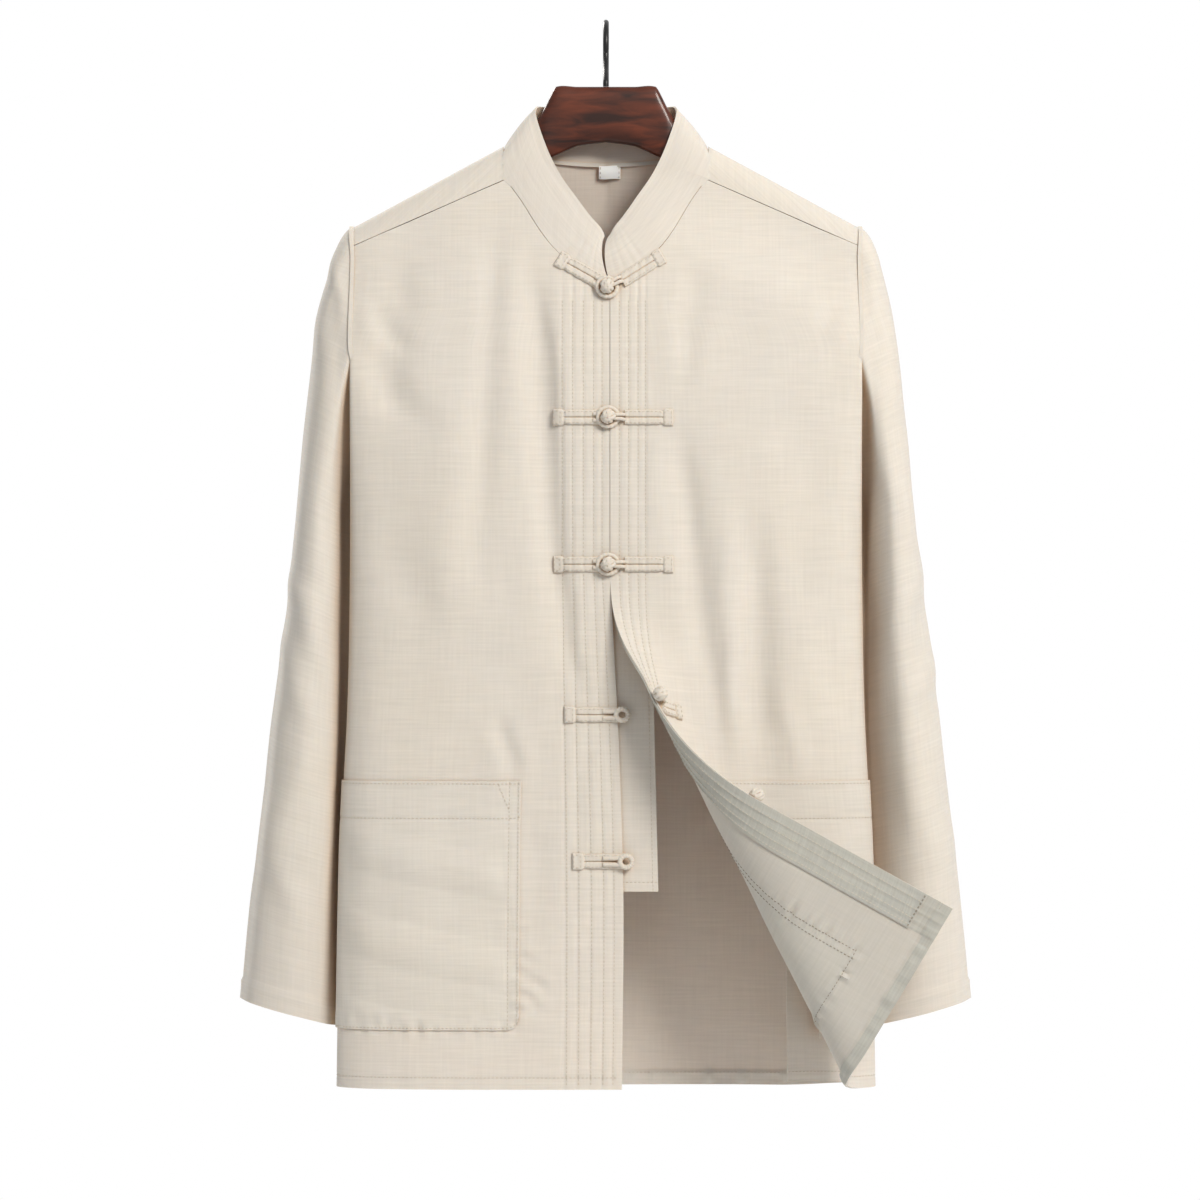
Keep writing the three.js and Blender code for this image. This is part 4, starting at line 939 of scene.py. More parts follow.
def finish_inside(made, banded):
    """Gives the inner grid of an open shell the inside finish, linen darkened as painted shade, and a masked
    band's faces a third.
    """
    for finish in ("inside", "facing"):
        made.data.materials.append(finish_named(finish))
    faces = banded.size
    slots = np.zeros(len(made.data.polygons), int)
    slots[faces:2 * faces] = np.where(banded.ravel(), 2, 1)
    made.data.polygons.foreach_set("material_index", slots)


def cloth_piece(name, node, outside, normals, thickness, closed=False, finish="linen",
                weave=None):
    """A cloth shell under its grid; the part that it stands for is hidden."""
    thickness = np.broadcast_to(thickness, outside.shape[:2])
    shape = Shape()
    add_shell(shape, outside, outside - normals * thickness[..., None], closed, weave)
    made = shape.build(name, finish)
    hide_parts(node)
    return made


def add_stitches(shape, points, normals, sizes):
    """Stitches along a line: short flattened beads, a pitch apart, that dip into the cloth at both ends."""
    length = walked(points, 0)
    count = max(int(length[-1] / sizes.stitch_pitch), 1)
    middle = (np.arange(count) + 0.5) * length[-1] / count
    stations = np.array((-0.5, -0.3, 0.3, 0.5))
    heights = np.array((-0.6, 1, 1, -0.6)) * sizes.thread
    widths = np.array((0.35, 1, 1, 0.35)) * sizes.thread
    along = middle[:, None] + stations * sizes.stitch_length
    centre = np.stack([np.interp(along, length, points[:, k]) for k in range(3)], axis=-1)
    outward = np.stack([np.interp(along, length, normals[:, k]) for k in range(3)], axis=-1)
    forward = unit(centre[:, -1] - centre[:, 0])[:, None]
    outward = unit(outward - forward * np.sum(outward * forward, axis=-1, keepdims=True))
    sideways = np.cross(forward, outward)
    centre = centre + outward * heights[:, None]
    turns = np.arange(4) * np.pi / 2 + np.pi / 4
    spread = sideways[:, :, None] * np.cos(turns)[:, None] * 1.3 + outward[:, :, None] * np.sin(turns)[:, None]
    rings = centre[:, :, None] + spread * widths[None, :, None, None]
    first = np.arange(count)[:, None] * 16
    k = np.arange(4)
    blocks = []
    for ring in range(3):
        a, b = 4 * ring + k, 4 * ring + (k + 1) % 4
        quad = np.stack([a, b, b + 4, a + 4], 1)
        blocks.append((first[:, :, None] + quad[None]).reshape(-1, 4))
    blocks.append(first + np.array((3, 2, 1, 0)))
    blocks.append(first + np.array((12, 13, 14, 15)))
    shape.add(rings.reshape(-1, 3), blocks)


def sewing(name, lines, sizes, finish="thread"):
    """All stitches of one piece as one object."""
    shape = Shape()
    for points, normals in lines:
        add_stitches(shape, points, normals, sizes)
    return shape.build(name, finish)


def add_tube(shape, path, radii, sides=14, closed=False, squash=1.0, reference=(0, 0, 1)):
    """A round profile carried along a path: rings square to it, sized by their radii, closed by a flat face at
    each end unless it is a ring.
    """
    path = np.asarray(path, float)
    radii = np.broadcast_to(radii, len(path))
    if closed:
        forward = unit(np.roll(path, -1, axis=0) - np.roll(path, 1, axis=0))
    else:
        forward = unit(np.gradient(path, axis=0))
    up = np.empty_like(forward)
    last = np.asarray(reference, float)
    for i, direction in enumerate(forward):
        last = unit(last - direction * (last @ direction))
        up[i] = last
    sideways = np.cross(forward, up)
    turns = np.arange(sides) * 2 * np.pi / sides
    ring = sideways[:, None] * np.cos(turns)[:, None] + squash * up[:, None] * np.sin(turns)[:, None]
    corners = path[:, None] + ring * radii[:, None, None]
    weave = grain(turns * radii.mean(), walked(path, 0)[:, None])
    rows = len(path)
    blocks = [ring_quads(rows, sides, joined=True)] if closed else ring_solid(rows, sides)
    shape.add(corners, blocks, weave)


def spread_lines(*stretches):
    """Grid lines from stretches of (from, to, count), each stretch's end being the next one's start."""
    lines = [np.linspace(start, end, count, endpoint=False) for start, end, count in stretches]
    return np.concatenate([*lines, [stretches[-1][1]]])


def front_heights(u):
    """Heights of a front's rows under each line: even from its top to the underarm, then closer at the hem."""
    top = front_top_z(shoulder_x(u))
    upper = mix(top[None], UNDERARM_Z, np.linspace(0, 1, 75)[:, None])
    lower = spread_lines((UNDERARM_Z, -0.57, 75), (-0.57, -0.79, 110), (-0.79, HEM_Z, 28))[1:]
    return np.concatenate([upper, np.broadcast_to(lower[:, None], (len(lower), len(u)))])


def hem_thickness(z, along, sizes, hem_z=HEM_Z):
    """Cloth that steps up to a turned hem above its stitch line, puckered where it is sewn."""
    from_hem = z - hem_z
    uneven = np.maximum(jitter(0.5 * along, SEEDS["hem_fold"]), -0.3)
    pucker = HEM_PUCKER["size"] * uneven * bell(from_hem - HEM_PUCKER["from_hem"], HEM_PUCKER["width"])
    return mix(sizes.hem, sizes.cloth, smooth(from_hem, HEM_STITCH + 0.001, HEM_STITCH + 0.002)) + pucker


class SHIRT_OT_fronts(ShirtStep, bpy.types.Operator):
    """Make both front panels with their sewn rows and hems"""

    bl_idname = "shirt.fronts"
    bl_label = "Fronts"

    def make(self, sizes):
        u = spread_lines((0, 0.15, 50), (0.15, FOLD_SHARE, 62), (FOLD_SHARE, 1, 24))
        z = front_heights(u)
        for side, word in ((-1, "right"), (1, "left")):
            outside, normals = front_at(side, u[None], z)
            node = f"{word}_front"
            weave = grain(walked(outside, 1)[110], -z)
            thickness = hem_thickness(z, weave[..., 0], sizes)
            made = cloth_piece(f"{node}_cloth", node, outside, normals, thickness, weave=weave)
            # Painted shade on the left front's inside: darker linen, with the facing's finish on its hem band
            # and corner
            if side > 0:
                hem = z < HEM_Z + HEM_STITCH + 0.0012
                corner = (z < HEM_FOLD_Z) & (u[None] < FACING_LINE)
                finish_inside(made, (hem | corner)[:-1, :-1])
            sewing(f"{node}_sewing", self.sewn_lines(side), sizes)
            # Painted shade: the left front's inner seams, seen on its turned-back part, are sewn in thread
            # darkened for shade
            finish = "thread" if side < 0 else "shaded_thread"
            sewing(f"{node}_inner_sewing", self.inner_lines(side), sizes, finish)

    def sewn_lines(self, side):
        """Rows along the free edge and the hem line."""
        lines = []
        z = np.linspace(-0.215, HEM_Z + 0.003, 500)
        for row in FRONT_ROWS[side]:
            start = z[front_top_z(row) - 0.004 > z]
            lines.append(front_at(side, line_at(row, start), start))
        lines.append(front_at(side, np.linspace(0.01, 0.98, 160), HEM_Z + HEM_STITCH))
        return lines

    def inner_lines(self, side):
        """The inside of the pocket's two seams and of the hem's row."""
        lines = []
        u = np.linspace(0.01, 0.98, 160)
        inside = bpy.context.scene.shirt_sizes.cloth
        across = np.linspace(POCKET_LINE, FOLD_SHARE, 60)
        down = np.linspace(POCKET_TOP_Z, POCKET_FOOT_Z, 80)
        lines.append(inner(front_at(side, across, POCKET_FOOT_Z + 0.002, -inside)))
        lines.append(inner(front_at(side, POCKET_LINE + 0.006, down, -inside)))
        lines.append(inner(front_at(side, POCKET_LINE + 0.028, down, -inside)))
        lines.append(inner(front_at(side, u, HEM_Z + HEM_STITCH, -inside)))
        return lines


def grain(across, down):
    """Weave places that keep to the cloth's grain: one distance for each line, and one for each point down."""
    return np.stack(np.broadcast_arrays(across, down), axis=-1)


def inner(line):
    """A line on the inside of the cloth: its outward directions turned round."""
    points, normals = line
    return points, -normals


class SHIRT_OT_back(ShirtStep, bpy.types.Operator):
    """Make the back, which comes over the shoulders to the forward seams"""

    bl_idname = "shirt.back"
    bl_label = "Back"

    def make(self, sizes):
        outside, normals, z = self.surface()
        thickness = hem_thickness(z, outside[..., 0], sizes, HEM_Z - BACK_HEM_DROP)
        weave = grain(walked(outside, 1)[110], walked(outside[::-1], 0)[::-1])
        cloth_piece("back_cloth", "back", outside, normals, thickness, weave=weave)
        row = nearest(z[:, z.shape[1] // 2], HEM_Z - BACK_HEM_DROP + HEM_STITCH)
        lines = [(outside[row], normals[row])]
        lines.append((outside[row] - normals[row] * sizes.hem, -normals[row]))
        sewing("back_sewing", lines, sizes)

    def surface(self):
        """The back's grid: lines dense at the neck, rows over the ridge and down to the hem."""
        neck_u = np.array([float(line_at(x, 0.0)) for x in BACK_NECK["x"]])
        fine = np.concatenate([np.linspace(a, b, 7, endpoint=False) for a, b in zip(neck_u[:-1], neck_u[1:])])
        half = np.concatenate([fine, spread_lines((0.319, FOLD_SHARE, 44), (FOLD_SHARE, 1, 24))])
        u = np.concatenate([-half[:0:-1], half])
        x = shoulder_x(np.abs(u))
        ridge = ridge_z(x)
        under = ridge - UNDERARM_Z
        shoulder = spread_lines((SHOULDER_SEAM_DROP, 0, 22), (0, 0.012, 10), (0.012, 0.025, 6))
        seam = ridge - (FRONT_NECK_SIDE_Z - SHOULDER_SEAM_FALL * (x - NECK_SIDE)) - SEAM_GAP
        before = shoulder[:, None] * seam / -SHOULDER_SEAM_DROP
        over = np.where(shoulder[:, None] < 0, before, shoulder[:, None])
        neck = follow(BACK_NECK, "x", "drop", x)
        scale = (under - neck) / (under - SHOULDER_SEAM_DROP)
        curved = neck + (shoulder[:, None] - SHOULDER_SEAM_DROP) * scale
        upper = np.where(x > NECK_SIDE - 0.0005, over, curved)
        middle = mix(upper[-1], under, np.linspace(0, 1, 50)[1:, None])
        below = spread_lines((UNDERARM_Z, -0.795, 120), (-0.795, HEM_Z, 20))[1:]
        lowered = BACK_HEM_DROP * (1 - smooth(np.abs(u), 0.5, 1)) * smooth(-below, -HEM_FOLD_Z, -HEM_Z)[:, None]
        lower = ridge - below[:, None] + lowered
        drops = np.concatenate([upper, middle, lower])
        points, normals = back_at(u[None], drops)
        return points, normals, points[..., 2]


def tucked(outside, normals, into, at_top):
    """A grid with two more rows that go down under the next panel's edge, as a seam's allowance does."""
    edge, out = (outside[0], normals[0]) if at_top else (outside[-1], normals[-1])
    under = edge - out * TUCK["sink"]
    rows = np.stack([under + into, under])
    if at_top:
        return np.concatenate([rows, outside]), np.concatenate([normals[:1], normals[:1], normals])
    return np.concatenate([outside, rows[::-1]]), np.concatenate([normals, normals[-1:], normals[-1:]])


def armhole(side):
    """The armhole's edge by share from the shoulder tip to the underarm: over the ridge and down each panel."""
    tip_x = shoulder_x(1.0)
    seam = ridge_z(tip_x) - (FRONT_NECK_SIDE_Z - SHOULDER_SEAM_FALL * (tip_x - NECK_SIDE)) - SEAM_GAP

    def on_back(drop):
        z = ridge_z(tip_x) - np.abs(drop)
        return body_point(np.where(drop < 0, -1, 1), side, share_at(1.0, z), z)

    front_z = np.linspace(float(front_top_z(tip_x)), UNDERARM_Z, 90)
    front = np.concatenate([on_back(np.linspace(-1e-6, -seam, 16)), hanging_front(side, 1.0, front_z)])
    back = on_back(np.linspace(0, ridge_z(tip_x) - UNDERARM_Z, 110))
    return front, back


def sleeve_section(side, face, share, z):
    """A sleeve's section: from its outer edge in to the roll and on to the tail, deep between them."""
    table = SLEEVE_SECTION[face]
    word = "right" if side < 0 else "left"
    outer = follow(SLEEVE_LINE, "z", "outer", z)
    roll = follow(SLEEVE_LINE, "z", f"{word}_roll", z)
    sink = follow(SLEEVE_LINE, "z", f"{word}_sink", z)
    tail = follow(SLEEVE_LINE, "z", "tail", z)
    half = follow(SLEEVE_LINE, "z", "front" if face < 0 else "back", z)
    x = mix(roll, outer, follow(table, "share", "out", share))
    x = x - (roll - tail) * (1 - follow(table, "share", "into", share))
    depth = follow(table, "share", "depth", share) + sink * follow(table, "share", "sink", share)
    return x, face * half * depth, outer


def sleeve_face(side, face, edge, count, cap_rows, arm_rows):
    """One face of a sleeve: a curve out of the armhole to the upper arm, then its section down to the cuff."""
    starts = resampled(edge, count)
    share = np.linspace(0, 1, count)
    under = smooth(share, 0.6, 0.9)
    begin = starts.copy()
    begin[:, 0] += side * mix(ARMHOLE_STEP["across"], ARMHOLE_STEP["under"], under)
    begin[:, 2] -= ARMHOLE_STEP["down"] * under
    leave = stacked(
        side * follow(SLEEVE_CAP, "share", "x", share),
        face * follow(SLEEVE_CAP, "share", "y", share),
        follow(SLEEVE_CAP, "share", "z", share),
    )
    x, y, _ = sleeve_section(side, face, share, SLEEVE_TOP_Z)
    end = stacked(side * x, y, SLEEVE_TOP_Z)
    t = np.linspace(0, 1, cap_rows)[:, None, None]
    cap = (1 - t) ** 2 * begin + 2 * t * (1 - t) * (begin + leave) + t * t * end
    z = np.linspace(SLEEVE_TOP_Z, CUFF_Z, arm_rows)[1:, None]
    x, y, outer = sleeve_section(side, face, share[None], z)
    tilt = CUFF_TILT * (outer - x) * smooth(z, SLEEVE_TOP_Z, CUFF_Z)
    arm = stacked(side * x, y, z - tilt)
    return np.concatenate([cap, arm])


class SHIRT_OT_sleeves(ShirtStep, bpy.types.Operator):
    """Make both sleeves with their creases and cuff hems"""

    bl_idname = "shirt.sleeves"
    bl_label = "Sleeves"

    def make(self, sizes):
        for side, word in ((-1, "right"), (1, "left")):
            front_edge, back_edge = armhole(side)
            front = sleeve_face(side, -1, front_edge, 66, 34, 112)
            back = sleeve_face(side, 1, back_edge, 56, 34, 112)
            grid = relaxed(np.concatenate([front, back[:, -2:0:-1]], axis=1), 10)
            normals = grid_normals(grid, closed=True, turn=-side)
            x, z = grid[..., 0], grid[..., 2]
            from_top = np.linspace(0, 1, len(grid))[:, None]
            relief = crease_relief(SLEEVE_CREASES, x, z)
            relief += ripple(x + grid[..., 1], z, RIPPLE_SIZE["sleeve"], SEEDS["sleeve"] + side)
            relief *= smooth(from_top, 0, 0.1)
            from_cuff = walked(grid[::-1], 0)[::-1]
            relief -= CUFF_DIP * bell(from_cuff - CUFF_STITCH, ROW_WIDTH)
            outside = grid + normals * relief[..., None]
            into = np.array((-side * TUCK["reach"], 0, 0))
            outside, normals = tucked(outside, normals, into, at_top=True)
            from_cuff = np.concatenate([np.full((2, from_cuff.shape[1]), from_cuff.max()), from_cuff])
            fold = smooth(from_cuff, CUFF_STITCH + 0.001, CUFF_STITCH + 0.003)
            node = f"{word}_sleeve"
            cloth_piece(
                f"{node}_cloth", node, outside, normals, mix(sizes.hem, sizes.cloth, fold),
                closed=True,
                weave=grain(walked(outside, 1)[60], from_cuff),
            )
            row = nearest(from_cuff[:, 0], CUFF_STITCH)
            around = np.append(np.arange(outside.shape[1]), 0)
            sewing(f"{node}_sewing", [(outside[row, around], normals[row, around])], sizes)


class SHIRT_OT_collar(ShirtStep, bpy.types.Operator):
    """Make the stand collar on the neck edges of the panels"""

    bl_idname = "shirt.collar"
    bl_label = "Collar"

    def make(self, sizes):
        seam = self.neck_edge()
        share = walked(seam, 0) / walked(seam, 0)[-1]
        side = np.where(share < 0.5, -1, 1)
        share = 2 * np.minimum(share, 1 - share)
        upper = stacked(side * follow(COLLAR_TOP, "share", "x", share), *(
            follow(COLLAR_TOP, "share", column, share) for column in ("y", "z")
        ))
        seam[:, 0] += side * COLLAR_OVER * smooth(np.abs(seam[:, 0]), 0.07, 0.0775) * (seam[:, 2] > -0.125)
        upward = unit(upper - seam)
        lower = seam + upward * COLLAR_LIFT
        t = spread_lines((0, 1, 26))[:, None, None]
        grid = mix(upper, lower, t)
        fade = np.exp(-np.abs(grid[..., 0]) / COLLAR_GAP_FADE) * (grid[..., 1] < 0)
        grid[..., 0] += follow(COLLAR_GAP, "z", "x", grid[..., 2]) * fade
        normals = grid_normals(grid, turn=1)
        bow = COLLAR_BOW * np.sin(np.pi * t[..., 0])
        bow = bow + ripple(grid[..., 0], grid[..., 2], RIPPLE_SIZE["collar"], SEEDS["collar"])
        edge = -COLLAR_DIP["depth"] * bell(t[..., 0] - COLLAR_DIP["at"], COLLAR_DIP["width"])
        outside = grid + normals * ((bow + edge) * smooth(t[..., 0] * (1 - t[..., 0]), 0, 0.06))[..., None]
        outside, normals = tucked(outside, normals, -upward * TUCK["reach"], at_top=False)
        wall = 1.6 * sizes.cloth
        cloth_piece("collar_cloth", "collar", outside, normals, wall)

    def neck_edge(self):
        """The neck edges of the right front, the back and the left front as one line."""
        u = np.linspace(0, 0.318, 60)
        right, _ = front_at(-1, u, front_top_z(shoulder_x(u)))
        left, _ = front_at(1, u, front_top_z(shoulder_x(u)))
        x = np.concatenate([-np.linspace(NECK_SIDE, 0, 60, endpoint=False), np.linspace(0, NECK_SIDE, 61)])
        drop = follow(BACK_NECK, "x", "drop", np.abs(x))
        z = ridge_z(np.abs(x)) - np.abs(drop)
        share = follow(FRONT_OF_SECTION, "across", "share", np.abs(x) / HALF_SHOULDER)
        back = body_point(np.where(drop < 0, -1, 1), np.where(x < 0, -1, 1), share, z)
        return resampled(np.concatenate([right, back, left[::-1]]), 320)


class SHIRT_OT_pockets(ShirtStep, bpy.types.Operator):
    """Make both patch pockets with their bands, rounded corners and puckered feet"""

    bl_idname = "shirt.pockets"
    bl_label = "Pockets"

    def make(self, sizes):
        across = spread_lines((0, 0.09, 16), (0.09, 1, 66))
        down = spread_lines((0, 0.2, 36), (0.2, 0.88, 60), (0.88, 1, 30))
        for side, word in ((-1, "right"), (1, "left")):
            outside, normals, places = self.surface(side, across, down)
            node = f"{word}_pocket"
            cloth_piece(
                f"{node}_cloth", node, outside, normals, 0.85 * sizes.cloth,
            )
            sewing(f"{node}_sewing", self.sewn_lines(outside, normals, places), sizes)

    def surface(self, side, across, down):
        """The pocket's grid on the front: u and z by share, a rounded corner, and a bag between its seams."""
        s, t = np.meshgrid(across, down)
        u = mix(POCKET_LINE, FOLD_SHARE, s)
        height = POCKET_TOP_Z - POCKET_FOOT_Z
        from_side = s * POCKET_WIDTH
        into_corner = np.clip(1 - from_side / POCKET_CORNER, 0, 1)
        foot = POCKET_FOOT_Z + POCKET_CORNER * (1 - np.sqrt(1 - into_corner**2))
        z = mix(POCKET_TOP_Z, foot, t)
        from_foot = (1 - t) * height
        from_top = t * height
        to_edge = np.minimum(from_side, from_foot)
        off_fold = 1 - smooth(s, 0.72, 0.95)
        bag = POCKET_BAG * smooth(to_edge, 0.004, 0.04) * smooth(from_top, 0, 0.05) * off_fold
        wave = np.sin(from_top * 2 * np.pi / POCKET_SAG["apart"] + 0.6 + 3 * s)
        sag = POCKET_SAG["size"] * wave * smooth(from_top, 0.02, 0.06)
        sag = sag * smooth(to_edge, 0.002, 0.02) * off_fold
        pucker = 0.0012 * jitter(from_side * 0.55, SEEDS["pocket_foot"]) * bell(from_foot - 0.007, 0.006)
        pucker = pucker + 0.0005 * bell(from_side - 0.0006, 0.001)
        pucker = pucker + 0.0004 * jitter(from_top * 0.8, SEEDS["pocket_side"]) * bell(from_side - 0.005, 0.005)
        uneven = 1 + 0.6 * jitter(from_side, SEEDS["pocket_band"])
        band = -0.0004 * bell(from_top - POCKET_BAND, ROW_WIDTH) * uneven
        band = band - 0.0003 * bell(from_side - POCKET_ROWS[1], ROW_WIDTH)
        slack = 0.0005 * jitter(0.12 * from_side, SEEDS["pocket_top"]) * (1 - smooth(from_top, 0.0, 0.03))
        layer = LAYER_GAP + bpy.context.scene.shirt_sizes.cloth
        lift = layer + bag + np.maximum(sag, -0.0003) + np.maximum(pucker, -0.0001)
        outside, normals = front_at(side, u, z, lift + band * 0.6 + np.maximum(slack, 0))
        return outside, normals, (from_side, from_foot, from_top)

    def sewn_lines(self, outside, normals, places):
        """Seams: inner edge twice, foot, top edge, the band's foot and the slanting corner stay."""
        from_side, from_foot, from_top = places
        rows = [nearest(from_top[:, 40], away) for away in (0.0022, POCKET_BAND)]
        rows.append(nearest(from_foot[:, 40], 0.0018))
        columns = [nearest(from_side[0], away) for away in POCKET_ROWS]
        lines = [(outside[row], normals[row]) for row in rows]
        lines += [(outside[:, column], normals[:, column]) for column in columns]
        steps = np.linspace(0, 1, 12)
        down = np.array([nearest(from_top[:, 0], mix(0.002, 0.022, step)) for step in steps])
        over = np.array([nearest(from_side[0], mix(0.016, 0.008, step)) for step in steps])
        lines.append((outside[down, over], normals[down, over]))
        return lines


class SHIRT_OT_inner_strips(ShirtStep, bpy.types.Operator):
    """Make the facing of the left front and the strip behind the opening"""

    bl_idname = "shirt.inner_strips"
    bl_label = "Inner strips"

    def make(self, sizes):
        u = np.linspace(0, FACING_LINE, 44)
        z = np.linspace(FACING_TOP_Z, HEM_FOLD_Z, 150)
        depth = sizes.cloth + 0.0003
        near, normals = front_at(1, u[None], z[:, None], -depth)
        outside = near - normals * sizes.cloth
        cloth_piece(
            "left_facing_cloth", "left_facing", outside, -normals, sizes.cloth,
            finish="facing",
        )
        lines = []
        below = np.linspace(FACING_TOP_Z - 0.004, HEM_FOLD_Z + 0.002, 260)
        for row in FRONT_ROWS[1]:
            lines.append(inner(front_at(1, line_at(row, below), below, -depth - sizes.cloth)))
        sewing("left_facing_sewing", lines, sizes)
        across = np.linspace(0.002, FACING_LINE - 0.002, 40)
        foot = [
            inner(front_at(1, across, HEM_FOLD_Z + rise, -depth - sizes.cloth)) for rise in (0.0012, 0.0018)
        ]
        # Painted shadow: dark stitches at the facing's foot stand for the shadow in its seam's groove
        sewing("left_facing_foot_sewing", foot, sizes, "shaded_thread")
        self.strip(sizes)

    def strip(self, sizes):
        """The strip behind the opening: hung from the right front's inside, its free edge slanting out."""
        t = np.linspace(0, 1, 130)[:, None]
        z = mix(STRIP["top_z"], STRIP["foot_z"], t)
        free = mix(STRIP["top_x"], STRIP["foot_x"], t)
        x = mix(STRIP["hidden_x"], free, np.linspace(0, 1, 34)[None])
        z = np.broadcast_to(z, x.shape)
        u = line_at(x, z)
        hung = np.where((x < 0)[..., None], hanging_front(-1, u, z), hanging_front(1, u, z))
        y = hung[..., 1] + WALL + STRIP["sink"] + ripple(x, z, RIPPLE_SIZE["strip"], SEEDS["strip"]) + 0.0004
        grid = stacked(x, y, z)
        normals = grid_normals(grid, turn=-1)
        relief = -STRIP["dip"] * bell(free - x - STRIP["row_from_edge"], ROW_WIDTH)
        outside = grid + normals * relief[..., None]
        thickness = mix(sizes.hem, sizes.cloth, smooth(z - STRIP["foot_z"], 0.006, 0.008))
        cloth_piece(
            "under_placket_cloth", "under_placket", outside, normals, thickness
        )
        lines = [(outside[:, -3], normals[:, -3]), (outside[-3], normals[-3])]
        sewing("under_placket_sewing", lines, sizes)


def front_place(side, x, z):
    """Point and outward direction of a front at a distance from the middle, for points given as arrays."""
    return front_at(side, line_at(np.maximum(side * x, 0), z), z)


def bar_grid(side, start, end, sizes):
    """A closure's bar on the front: two tapes side by side with a groove, boxed and raised at the outer end."""
    t = spread_lines((0, 0.8, 40), (0.8, 1, 22))[:, None]
    w = np.linspace(-1, 1, 25)[None]
    span = math.dist(start, end)
    direction = ((end[0] - start[0]) / span, (end[1] - start[1]) / span)
    to_end = (1 - t) * span
    flare = 1 + 0.14 * smooth(to_end, 0.0085, 0.006) - 0.1 * bell(to_end - 0.009, 0.002)
    away = w * BAR_HALF_WIDTH * flare * (1 + 0.03 * jitter(0.8 * to_end, SEEDS["bar_edge"]))
    x = mix(start[0], end[0], t) - direction[1] * away
    z = mix(start[1], end[1], t) + direction[0] * away
    under, normals = front_place(side, x, z)
    tape = np.abs(np.abs(w) - 0.5) * 2
    tapes = 0.0017 * np.sqrt(np.maximum(1 - tape**4, 0)) + 0.0003
    box = 0.0016 * np.sqrt(np.maximum(1 - np.abs(w) ** 6, 0)) + 0.0008
    at_box = smooth(to_end, 0.0085, 0.0075)
    height = mix(tapes, box, at_box)
    height = height - 0.0009 * bell(to_end - 0.008, 0.0006)
    uneven = 1 + 0.05 * jitter(to_end + 3 * w, SEEDS["bar_height"])
    height = height * (0.35 + 0.65 * smooth(to_end, 0, 0.0008)) * uneven
    lift = BAR_LIFT - 0.0004
    top = under + normals * (lift + height)[..., None]
    foot = under + normals * (lift - 0.0003)
    edge = (np.abs(w) * np.ones_like(t)) > 0.99
    top = np.where(edge[..., None], under + normals * (lift + 0.0003), top)
    return top, foot, normals


def bar_sewing(top, normals):
    """Stitches of a bar: down the groove, along both edges and round its end box."""
    lines = [(top[:40, column], normals[:40, column]) for column in (3, 12, 21)]
    lines += [(top[row, 2:23], normals[row, 2:23]) for row in (44, 58)]
    lines += [(top[44:59, column], normals[44:59, column]) for column in (3, 21)]
    return lines


def placed(frame_axes, centre, points):
    """Points given along a closure's own axes, put in the shirt's frame."""
    along, across, outward = frame_axes
    return centre + points[..., :1] * along + points[..., 1:2] * across + points[..., 2:] * outward


def button_axes(along, outward):
    """Axes of a closure: along it from the button to its bar, across it, and out of the cloth."""
    across = unit(np.cross(outward, along))
    return unit(np.cross(across, outward)), across, outward


def add_loop(shape, axes, centre, reach, radius, thick):
    """The loop: a twisted cord ring, and its two cords laid side by side on the way to the bar."""
    height = BAR_LIFT + thick + RING_REST
    turn = np.linspace(0, 2 * np.pi, 72, endpoint=False)
    lean = 0.0005 * np.cos(turn)
    ring = stacked(radius * np.cos(turn), radius * np.sin(turn) * 0.94, height + lean)
    add_tube(shape, placed(axes, centre, ring), thick * (1 + 0.09 * np.sin(14 * turn)), closed=True,
             reference=axes[2])
    for way in (-1, 1):
        run = np.linspace(0, 1, 12)
        cord = stacked(
            radius * 0.85 + run * (reach + 0.003),
            way * mix(0.58 * radius, 0.0024, smooth(run, 0, 0.5)),
            mix(height, BAR_LIFT + 0.0012, smooth(run, 0, 1)),
        )
        add_tube(shape, placed(axes, centre, cord), 0.9 * thick, reference=axes[2])


def add_knot(shape, axes, centre):
    """The button: a ball whose radius rises along crossing pairs of bands, as a cord wound round itself."""
    theta, phi = np.meshgrid(np.linspace(0.02, np.pi - 0.02, 56), np.linspace(0, 2 * np.pi, 84, endpoint=False),
                             indexing="ij")
    ball = stacked(np.sin(theta) * np.cos(phi), np.sin(theta) * np.sin(phi), np.cos(theta))
    height = np.zeros(theta.shape)
    for number, band in enumerate(unit(np.array(KNOT_STRANDS))):
        for offset in STRAND_OFFSETS:
            away = (ball @ band - offset) / STRAND_HALF
            weaving = 0.88 + 0.14 * np.sin(3 * phi + 2.1 * number + 4 * offset)
            height = np.maximum(height, np.sqrt(np.maximum(1 - away**2, 0)) * weaving)
    radius = KNOT_RADIUS * (0.74 + 0.26 * height)
    points = ball * radius[..., None] + np.array((0, 0, BAR_LIFT + KNOT_RADIUS - 0.0003))
    shape.add(placed(axes, centre, points), ring_solid(*theta.shape))


def add_knot_neck(shape, axes, centre):
    """The two cords that run from the button over the loop down to the bar."""
    over_loop = BAR_LIFT + 2 * LOOP_CORD_RADIUS + RING_REST + 0.0012
    for way in (-1, 1):
        run = np.linspace(0, 1, 20)
        cord = stacked(
            mix(0.0025, KNOT_TO_BAR + 0.003, run),
            way * mix(0.0013, 0.0019, run),
            mix(over_loop, BAR_LIFT + 0.0012, smooth(run, 0.68, 0.95)),
        )
        add_tube(shape, placed(axes, centre, cord), 0.0014, reference=axes[2])


